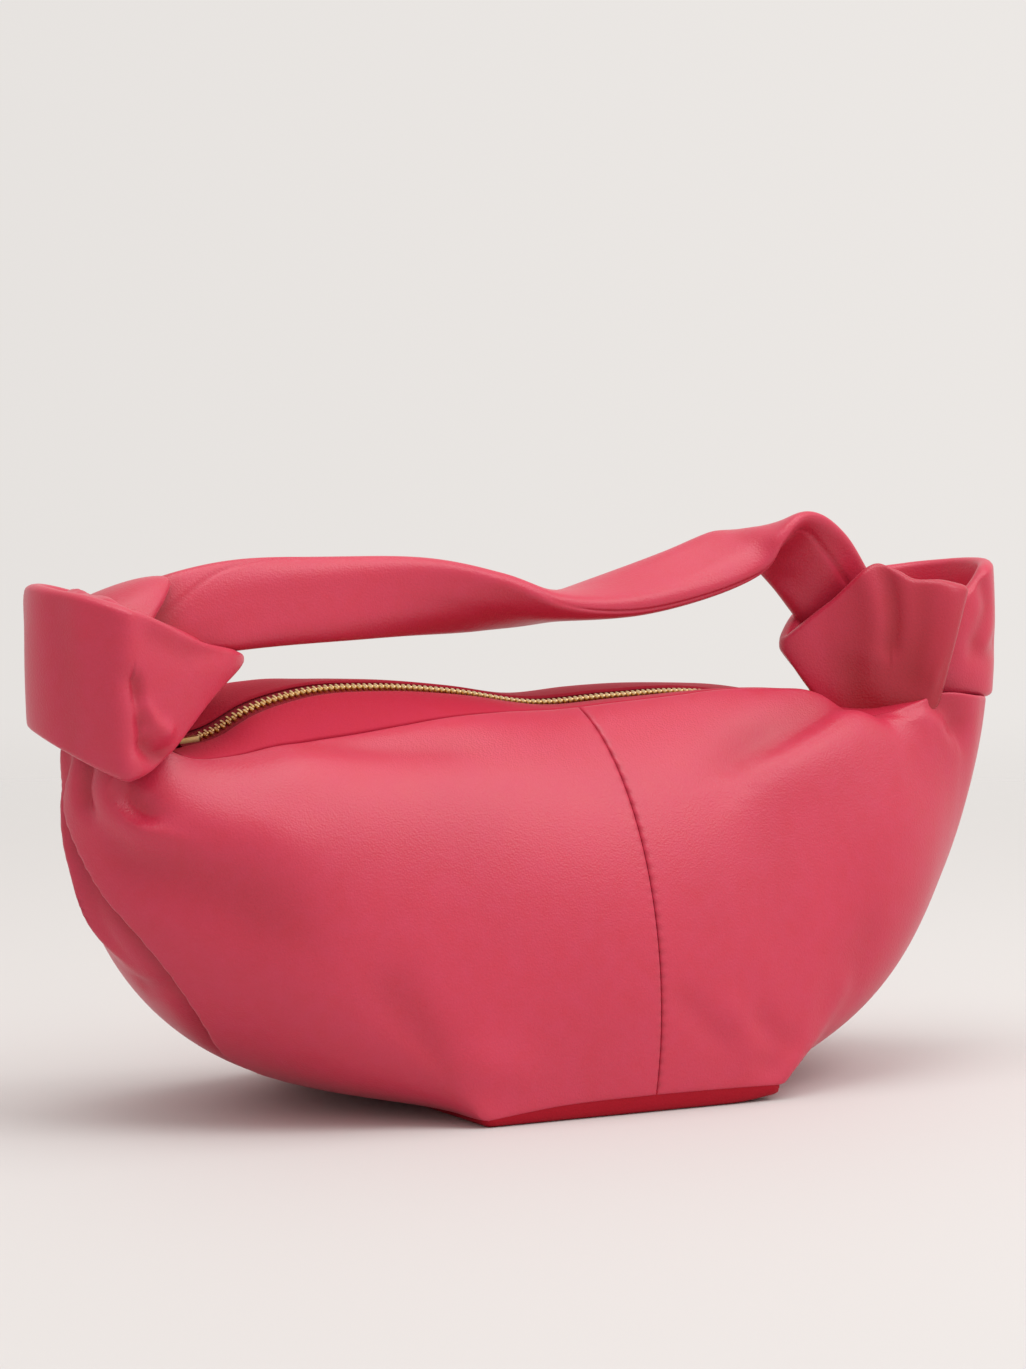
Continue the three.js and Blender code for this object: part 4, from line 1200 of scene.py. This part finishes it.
def wrap_folds(points, keys, stations_at, folds, centre_x, sign):
    """How far a wrap's folds lift or sink the points of its grid."""
    lift = np.zeros(points.shape[:2])
    for course, height, before, after in folds:
        line = along_course(course, WRAP_FOLD_POINTS)
        outward, across, low, high = stations_at(line[:, 0]).T
        places = np.column_stack([centre_x + sign * outward, across, low + line[:, 1] * (high - low)])
        gaps = np.linalg.norm(points[:, :, None, :] - places, axis=-1)
        near = gaps.argmin(axis=-1)
        gap = gaps.min(axis=-1) / np.where(keys[:, None] < line[near, 0], before, after)
        lift += height * np.exp(-gap * gap)
    return lift


def wrap_grid(keys, stations_at, folds, centre_x, sign, thickness, closed):
    """Grid of a wrap's section swept along its stations, with its folds."""
    stations = stations_at(keys)
    plan = stations[:, :2]
    run = np.roll(plan, -1, axis=0) - np.roll(plan, 1, axis=0) if closed else np.gradient(plan, axis=0)
    tangents = unit_vectors(run)
    outward = np.column_stack([-tangents[:, 1], tangents[:, 0]])
    outward = outward * np.sign(np.sum(outward * (plan - plan.mean(axis=0)), axis=1).mean())
    rings = []
    outside = []
    for (out, y, low, high), normal in zip(stations, outward):
        across, up = wrap_section(low, high, thickness)
        swell = WRAP_PUFF * np.clip(1 - ((up - (low + high) / 2) / ((high - low) / 2)) ** 2, 0, 1)
        reach = across - thickness / 2 + np.where(across > 0, swell, 0)
        rings.append(np.column_stack([centre_x + sign * (out + normal[0] * reach), y + normal[1] * reach, up]))
        outside.append(np.clip(across / thickness * 2, 0, 1))
    rings = np.array(rings)
    lift = wrap_folds(rings, keys, stations_at, folds, centre_x, sign) * np.array(outside)
    rings[..., 0] += sign * outward[:, None, 0] * lift
    rings[..., 1] += outward[:, None, 1] * lift
    return rings, lift


class BAG_OT_knots(bpy.types.Operator):
    """Makes the two knots: a padded wrap each, and the gathered tail inside."""

    bl_idname = "bag.knots"
    bl_label = "Knots"

    def execute(self, context):
        thickness = sizes()["wrap"]
        self.make_left(thickness)
        self.make_right(thickness)
        self.make_collar()
        self.make_turn_in()
        return {"FINISHED"}

    def make_left(self, thickness):
        def stations_at(keys):
            return round_through(LEFT_WRAP, keys)
        keys = np.linspace(0, len(LEFT_WRAP), LEFT_STEPS, endpoint=False)
        rings, lift = wrap_grid(keys, stations_at, LEFT_WRAP_FOLDS, -KNOT_X, -1, thickness, True)
        faces = grid_faces(rings.shape[0], rings.shape[1], wrap_rows=True, wrap_columns=True)
        # Painted shade in the wrap's fold valleys
        dark = np.clip(-lift / WRAP_DEEP_FOLD, 0, WRAP_DEEPEST)
        self.finish_wrap("left_knot_wrap", rings.reshape(-1, 3), faces, dark)
        self.make_crown("left", stations_at(keys[::2]), -KNOT_X, -1, LEFT_CROWN_DEPTH, LEFT_LUMPS, PULL_ROOM)

    def make_right(self, thickness):
        def stations_at(keys):
            return through(RIGHT_WRAP, keys)
        keys = np.linspace(0, RIGHT_WRAP[-1][0], RIGHT_STEPS)
        rings, lift = wrap_grid(keys, stations_at, RIGHT_WRAP_FOLDS, KNOT_X, 1, thickness, False)
        for index, share in LEAF_ENDS:
            centre = rings[index].mean(axis=0)
            tall = LEAF_END_HEIGHT + (1 - LEAF_END_HEIGHT) * share
            rings[index] = centre + (rings[index] - centre) * [share, share, tall]
        stations = stations_at(keys)
        fall = (stations[:, None, 3] - rings[..., 2]) / (stations[:, 3] - stations[:, 2])[:, None]
        rings[..., 0] -= LEAF_SLANT * fall * smoothstep(LEAF_UPRIGHT, 0, keys)[:, None]
        faces = tube_faces(*rings.shape[:2])
        # Painted shade over the leaf, more of it towards its foot
        leaf = smoothstep(*LEAF_SHADE_STATIONS, keys)[:, None]
        in_shade = leaf * (LEAF_SHADE + LEAF_FOOT_SHADE * np.clip(fall, 0, 1))
        # Painted shade in the right wrap's fold valleys, with the leaf's painted shade
        dark = np.clip(-lift / WRAP_DEEP_FOLD, 0, WRAP_DEEPEST) + in_shade
        self.finish_wrap("right_knot_wrap", rings.reshape(-1, 3), faces, np.clip(dark, 0, LEAF_DEEPEST))
        loop = stations_at(keys[(keys > LOOP_START) & (keys < LOOP_END)][::2])
        self.make_crown("right", loop, KNOT_X, 1, RIGHT_CROWN_DEPTH, RIGHT_LUMPS)

    def finish_wrap(self, node, points, faces, dark):
        piece = make_piece(node + "_leather", points, faces, finish_for("leather"), dark,
                           sharp=SOFT_SHARP)
        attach(piece, "bag")
        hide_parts(node)

    def make_collar(self):
        """Lobe of the left knot that lies over the strap's root."""
        arch = np.linspace(0, 1, COLLAR_STEPS)
        shares = spread(0, 1, COLLAR_ROWS, COLLAR_FINE_ROWS)
        right, left = through(COLLAR_RIGHT, arch), through(COLLAR_LEFT, arch)
        share = shares[None, :, None]
        surface = right[:, None, :] * (1 - share) + left[:, None, :] * share
        normals = unit_vectors(np.cross(np.gradient(surface, axis=0), np.gradient(surface, axis=1)))
        normals = np.where(normals[len(arch) // 2, len(shares) // 2, 2] < 0, -normals, normals)
        surface = surface + normals * (COLLAR_SWELL * np.sin(np.pi * share ** COLLAR_SWELL_POWER))
        points, faces = sheet_mesh(*rolled(surface, normals, LIP_THICKNESS, LIP_ROLL))
        # Painted shade, deepest towards the left edge
        dark = np.broadcast_to(COLLAR_SHADE * shares ** COLLAR_SHADE_POWER, surface.shape[:2])
        piece = make_piece("left_knot_collar", points, faces, finish_for("leather"),
                           both_sides(dark), sharp=SOFT_SHARP)
        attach(piece, "bag")

    def make_turn_in(self):
        """Leather that turns in from the lip of the right end to the gathered leather."""
        angles = np.linspace(TURN_IN[0][0], TURN_IN[-1][0], TURN_IN_STEPS)
        shares = np.linspace(0, 1, TURN_IN_ROWS)
        inner, outer = through(TURN_IN, angles).T[:, :, None]
        reach = inner * (1 - shares) + outer * shares
        turn = np.radians(angles)[:, None]
        height = np.broadcast_to(TURN_IN_LOW + TURN_IN_RISE * (1 - shares) ** 2, reach.shape)
        surface = np.stack([KNOT_X + reach * np.cos(turn), reach * np.sin(turn), height], axis=-1)
        normals = unit_vectors(np.cross(np.gradient(surface, axis=1), np.gradient(surface, axis=0)))
        points, faces = sheet_mesh(*rolled(surface, normals, LIP_THICKNESS, LIP_ROLL))
        piece = make_piece("right_knot_turn_in", points, faces, finish_for("leather"),
                           np.full(len(points), TURN_IN_SHADE), sharp=SOFT_SHARP)
        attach(piece, "bag")

    def make_crown(self, label, stations, centre_x, sign, depth, lumps, room=-np.inf):
        """Gathered leather inside a wrap: a lumpy cap over a plug that reaches down into the bag."""
        plan = stations[:, :2]
        middle = plan.mean(axis=0)
        reach = 1 + CROWN_SPREAD * smoothstep(*CROWN_WIDENS, plan[:, :1])
        rings = []
        top = stations[:, 3]
        for share, drop in CROWN_RINGS:
            flat = middle + (plan - middle) * share * reach
            if drop >= PULL_ROOM_DROP:
                flat[:, 0] = np.maximum(flat[:, 0], room)
            outward = flat[:, 0] + LUMP_SLANT * flat[:, 1]
            fold = sum(rise * hill(outward, at, width) for at, width, rise in lumps)
            height = top.mean() - depth + (top - top.mean()) * share - drop
            height = np.maximum(height + fold * smoothstep(*LUMP_DROPS, drop), CROWN_FLOOR)
            rings.append(np.column_stack([centre_x + sign * flat[:, 0], flat[:, 1], height]))
        rings = np.array(rings)
        faces = tube_faces(*rings.shape[:2])
        piece = make_piece(f"{label}_knot_gather", rings.reshape(-1, 3), faces, finish_for("leather"),
                           sharp=SOFT_SHARP)
        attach(piece, "bag")
        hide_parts(f"{label}_tail")


# Strap: place along its course, x, height, twist that brings its top edge over to the front,
# and its width and thickness against those of the settings
STRAP_COURSE = [
    (0, -168, 152, 0, 1, 0.9), (1, -150, 160.5, -0.1, 1, 0.9), (2, -131, 166.3, -0.2, 1.04, 0.95),
    (3, -108, 169.3, -0.2, 1.08, 1), (4, -76, 170, -0.08, 1.02, 1), (5, -45, 170, 0.25, 0.98, 1),
    (6, -18, 167.5, 0.8, 0.96, 1), (7, 5, 165, 1.42, 0.98, 1), (8, 32, 168, 1.85, 1, 1),
    (9, 60, 174.5, 2.02, 1.02, 1), (10, 81, 181.5, 1.95, 1.1, 0.95), (11, 91.5, 186.2, 1.5, 1.16, 0.85),
    (12, 102, 186, 0.9, 1.2, 0.75), (13, 111.5, 179.3, 0.65, 1.18, 0.75), (14, 120, 169, 0.5, 1.12, 0.8),
    (15, 128, 157.5, 0.45, 1.05, 0.85),
]
# Where the strap's seam lies round its section, along its course
STRAP_SEAM = [
    (0, 4.8), (1.8, 4.9), (2.6, 5.5), (3.6, 6.1), (8, 6.2), (10, 6.1), (11.3, 5.6), (12.5, 5.2), (15, 5.1),
]
SEAM_DEPTH = 0.55
SEAM_SPREAD = 0.8
# Mean radius of the section where the seam runs, as a share of half its width
SEAM_RADIUS = 0.8
# Rings from one place of the course to the next, and points of a ring
STRAP_STEPS, STRAP_POINTS = 16, 96
# Powers that make the section fuller than an ellipse, on its width and on its thickness
WIDE_POWER, THIN_POWER = 0.8, 0.85
# Wrinkles of the strap: height as a share of its thickness, waves round the section, turn along the course
STRAP_WRINKLES = [(0.05, 2, 0.9), (0.04, 5, -1.7)]
FILLER_INSET = 1.9
# Painted shade on the strap where the left knot shades it, between these two places, and on its underside
ROOT_SHADE, ROOT_SHADE_PLACES = 0.6, (-130, -142)
UNDER_SHADE, UNDER_FACING = 0.5, (-0.1, -0.7)


def strap_rings(inset):
    """Rings of the twisted strap from the left knot to the right one, with its seam where it isn't inset."""
    size = sizes()
    steps = np.linspace(0, STRAP_COURSE[-1][0], STRAP_COURSE[-1][0] * STRAP_STEPS + 1)
    course = through(STRAP_COURSE, steps)
    centres = np.column_stack([course[:, 0], np.zeros(len(steps)), course[:, 1]])
    tangents = unit_vectors(np.gradient(centres, axis=0))
    side = np.array([0, 1.0, 0])
    up = np.cross(tangents, side)
    twist = course[:, 2][:, None]
    wide = np.cos(twist) * up - np.sin(twist) * side
    thin = np.cross(wide, tangents)
    turn = np.linspace(0, FULL_TURN, STRAP_POINTS, endpoint=False)
    wide_share = np.sign(np.cos(turn)) * np.abs(np.cos(turn)) ** WIDE_POWER
    thin_share = np.sign(np.sin(turn)) * np.abs(np.sin(turn)) ** THIN_POWER
    half_wide = (size["strap_width"] / 2 * course[:, 3] - inset)[:, None]
    half_thin = (size["strap_thickness"] / 2 * course[:, 4] - inset)[:, None]
    along = steps[:, None]
    wrinkle = sum(height * np.sin(waves * turn + drift * along) for height, waves, drift in STRAP_WRINKLES)
    seam_gap = (turn - level(STRAP_SEAM, steps)[:, None]) * half_wide * SEAM_RADIUS
    seam = SEAM_DEPTH * hill(seam_gap, 0, SEAM_SPREAD) * (inset == 0)
    reach_wide = half_wide * wide_share * (1 - seam / half_wide)
    reach_thin = half_thin * thin_share * (1 + wrinkle) * (1 - seam / half_thin)
    from_centre = wide[:, None, :] * reach_wide[..., None]
    return centres[:, None, :] + from_centre + thin[:, None, :] * reach_thin[..., None]


class BAG_OT_strap(bpy.types.Operator):
    """Makes the twisted strap and its soft core, in two halves that meet in the middle."""

    bl_idname = "bag.strap"
    bl_label = "Strap"

    def execute(self, context):
        for label, inset, slot, node in [
            ("strap", 0, "leather", "handle_strap"),
            ("strap_filler", FILLER_INSET, "foam", "handle_filler"),
        ]:
            rings = strap_rings(inset)
            middle = int(np.argmin(np.abs(rings[:, :, 0].mean(axis=1))))
            for half, part in [("left", rings[:middle + 1]), ("right", rings[middle:])]:
                self.make_half(f"{label}_{half}", part, slot, node, half)
        return {"FINISHED"}

    def make_half(self, name, rings, slot, node, half):
        faces = tube_faces(*rings.shape[:2])
        # Painted shade at the root in the left knot and on the underside
        dark = ROOT_SHADE * smoothstep(*ROOT_SHADE_PLACES, rings[..., 0]) + UNDER_SHADE * underside(rings)
        piece = make_piece(name, rings.reshape(-1, 3), faces, finish_for(slot), dark, sharp=SOFT_SHARP)
        sign = -1 if half == "left" else 1
        sign * 0.132
        sign * 0.06
        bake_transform(piece)
        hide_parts(node)


def underside(rings):
    """How much each point of a tube looks down, where the bag's own red light reaches it."""
    along = np.gradient(rings, axis=0)
    around = np.roll(rings, -1, axis=1) - np.roll(rings, 1, axis=1)
    facing = unit_vectors(np.cross(along, around))
    outward = np.sum(facing * (rings - rings.mean(axis=1, keepdims=True)), axis=-1, keepdims=True)
    return smoothstep(*UNDER_FACING, (facing * np.sign(outward))[..., 2])


# Stage

CAMERA_PLACE = Vector((-0.7237, -1.3037, 0.2533))
CAMERA_AIM = Vector((0.4799, 0.8739, -0.0768))
FOCAL_PIXELS = 4343.19
IMAGE_HEIGHT = 1369
# The floor: half its length, and how far from the bag it starts to fade out and is gone, in metres
FLOOR_REACH = 8
FLOOR_FADE = (0.3, 1.6)
FLOOR_ROUGHNESS = 0.7
# The floor's grain: its darker tone, and how far that comes through
FLOOR_GRAIN_DARK, FLOOR_GRAIN_SHARE = 0.96, 0.1
# Colour of the sky, the side from which it is brighter, by how much, and its strength elsewhere
SKY_COLOUR = (0.8, 0.77, 0.745, 1)
BRIGHT_SIDE = Vector((0.92, -0.2, 0.33))
BRIGHT_GAIN, SKY_STRENGTH = 0.22, 0.96
# Lights: name, place and size in metres, power in watts
LIGHTS = [
    ("key_light", (0.9, -1.0, 1.6), 1.1, 12),
    ("top_light", (0.0, -0.1, 1.8), 1.2, 12.5),
]
LIGHT_AIM = Vector((0, 0, 0.08))


class BAG_OT_stage(bpy.types.Operator):
    """Makes the camera, the pale floor and the soft lights."""

    bl_idname = "bag.stage"
    bl_label = "Stage"

    def execute(self, context):
        scene = context.scene
        camera = bpy.data.objects.new("camera", bpy.data.cameras.new("camera"))
        camera.data.lens = camera.data.sensor_width * FOCAL_PIXELS / IMAGE_HEIGHT
        turn = CAMERA_AIM.to_track_quat("-Z", "Y").to_matrix().to_4x4()
        camera.matrix_world = Matrix.Translation(CAMERA_PLACE) @ turn
        scene.collection.objects.link(camera)
        scene.camera = camera
        scene.view_settings.view_transform = "Standard"
        self.make_floor(scene)
        self.make_lights(scene)
        return {"FINISHED"}

    def make_floor(self, scene):
        mesh = bpy.data.meshes.new("floor")
        corners = [(x * FLOOR_REACH, y * FLOOR_REACH, 0) for x, y in [(-1, -1), (1, -1), (1, 1), (-1, 1)]]
        mesh.from_pydata(corners, [], [(0, 1, 2, 3)])
        floor = bpy.data.objects.new("floor", mesh)
        scene.collection.objects.link(floor)
        shader = Shader(bpy.data.materials.new("floor"))
        colour = tuple(scene.bag_colours.floor) + (1,)
        grain = shader.noise(shader.place(), scale=300, detail=3)
        tone = shader.mix(grain * FLOOR_GRAIN_SHARE, colour, shaded(colour, FLOOR_GRAIN_DARK))
        mesh.materials.append(shader.set(Base_Color=tone, Roughness=FLOOR_ROUGHNESS))
        distance = shader.add("ShaderNodeVectorMath", {"operation": "LENGTH"}, {0: shader.place()}, "Value")
        fade = shader.add("ShaderNodeMapRange", {"interpolation_type": "SMOOTHSTEP"},
                          {"Value": distance, "From Min": FLOOR_FADE[0], "From Max": FLOOR_FADE[1]})
        clear = shader.add("ShaderNodeBsdfTransparent")
        solid = Socket(shader, shader.main.outputs[0])
        mixed = shader.add("ShaderNodeMixShader", None, {0: fade, 1: solid, 2: clear})
        shader.feed(shader.node_of("OUTPUT_MATERIAL").inputs["Surface"], mixed)

    def make_lights(self, scene):
        sky = Shader(bpy.data.worlds.new("studio"), "BACKGROUND")
        direction = sky.add("ShaderNodeTexCoord", None, None, "Generated")
        towards = sky.add("ShaderNodeVectorMath", {"operation": "DOT_PRODUCT"},
                          {0: direction, 1: BRIGHT_SIDE.normalized()}, "Value")
        scene.world = sky.set(Color=SKY_COLOUR, Strength=towards * BRIGHT_GAIN + SKY_STRENGTH)
        for name, place, size, power in LIGHTS:
            light = bpy.data.objects.new(name, bpy.data.lights.new(name, "AREA"))
            light.data.size = size
            light.data.energy = power
            light.location = place
            aim = LIGHT_AIM - Vector(place)
            light.rotation_mode = "QUATERNION"
            light.rotation_quaternion = aim.to_track_quat("-Z", "Y")
            scene.collection.objects.link(light)


class BAG_PT_sidebar(bpy.types.Panel):
    """Lists the bag's settings and makers."""

    bl_idname = "BAG_PT_sidebar"
    bl_label = "Knotted bag"
    bl_space_type = "VIEW_3D"
    bl_region_type = "UI"
    bl_category = "Bag"

    def draw(self, context):
        for group in (context.scene.bag_sizes, context.scene.bag_colours):
            for name in group.__annotations__:
                self.layout.prop(group, name)
        for maker in MAKERS:
            self.layout.operator(maker.bl_idname)


MAKERS = (BAG_OT_stage, BAG_OT_panels, BAG_OT_base, BAG_OT_lining, BAG_OT_zip, BAG_OT_knots, BAG_OT_strap)
CLASSES = (BagSizes, BagColours, *MAKERS, BAG_PT_sidebar)


def register():
    for cls in CLASSES:
        bpy.utils.register_class(cls)
    bpy.types.Scene.bag_sizes = PointerProperty(type=BagSizes)
    bpy.types.Scene.bag_colours = PointerProperty(type=BagColours)


def unregister():
    del bpy.types.Scene.bag_colours
    del bpy.types.Scene.bag_sizes
    for cls in reversed(CLASSES):
        bpy.utils.unregister_class(cls)


def main():
    register()
    bpy.ops.bag.stage()
    bpy.ops.bag.panels()
    bpy.ops.bag.base()
    bpy.ops.bag.lining()
    bpy.ops.bag.zip()
    bpy.ops.bag.knots()
    bpy.ops.bag.strap()


if __name__ == "__main__":
    main()
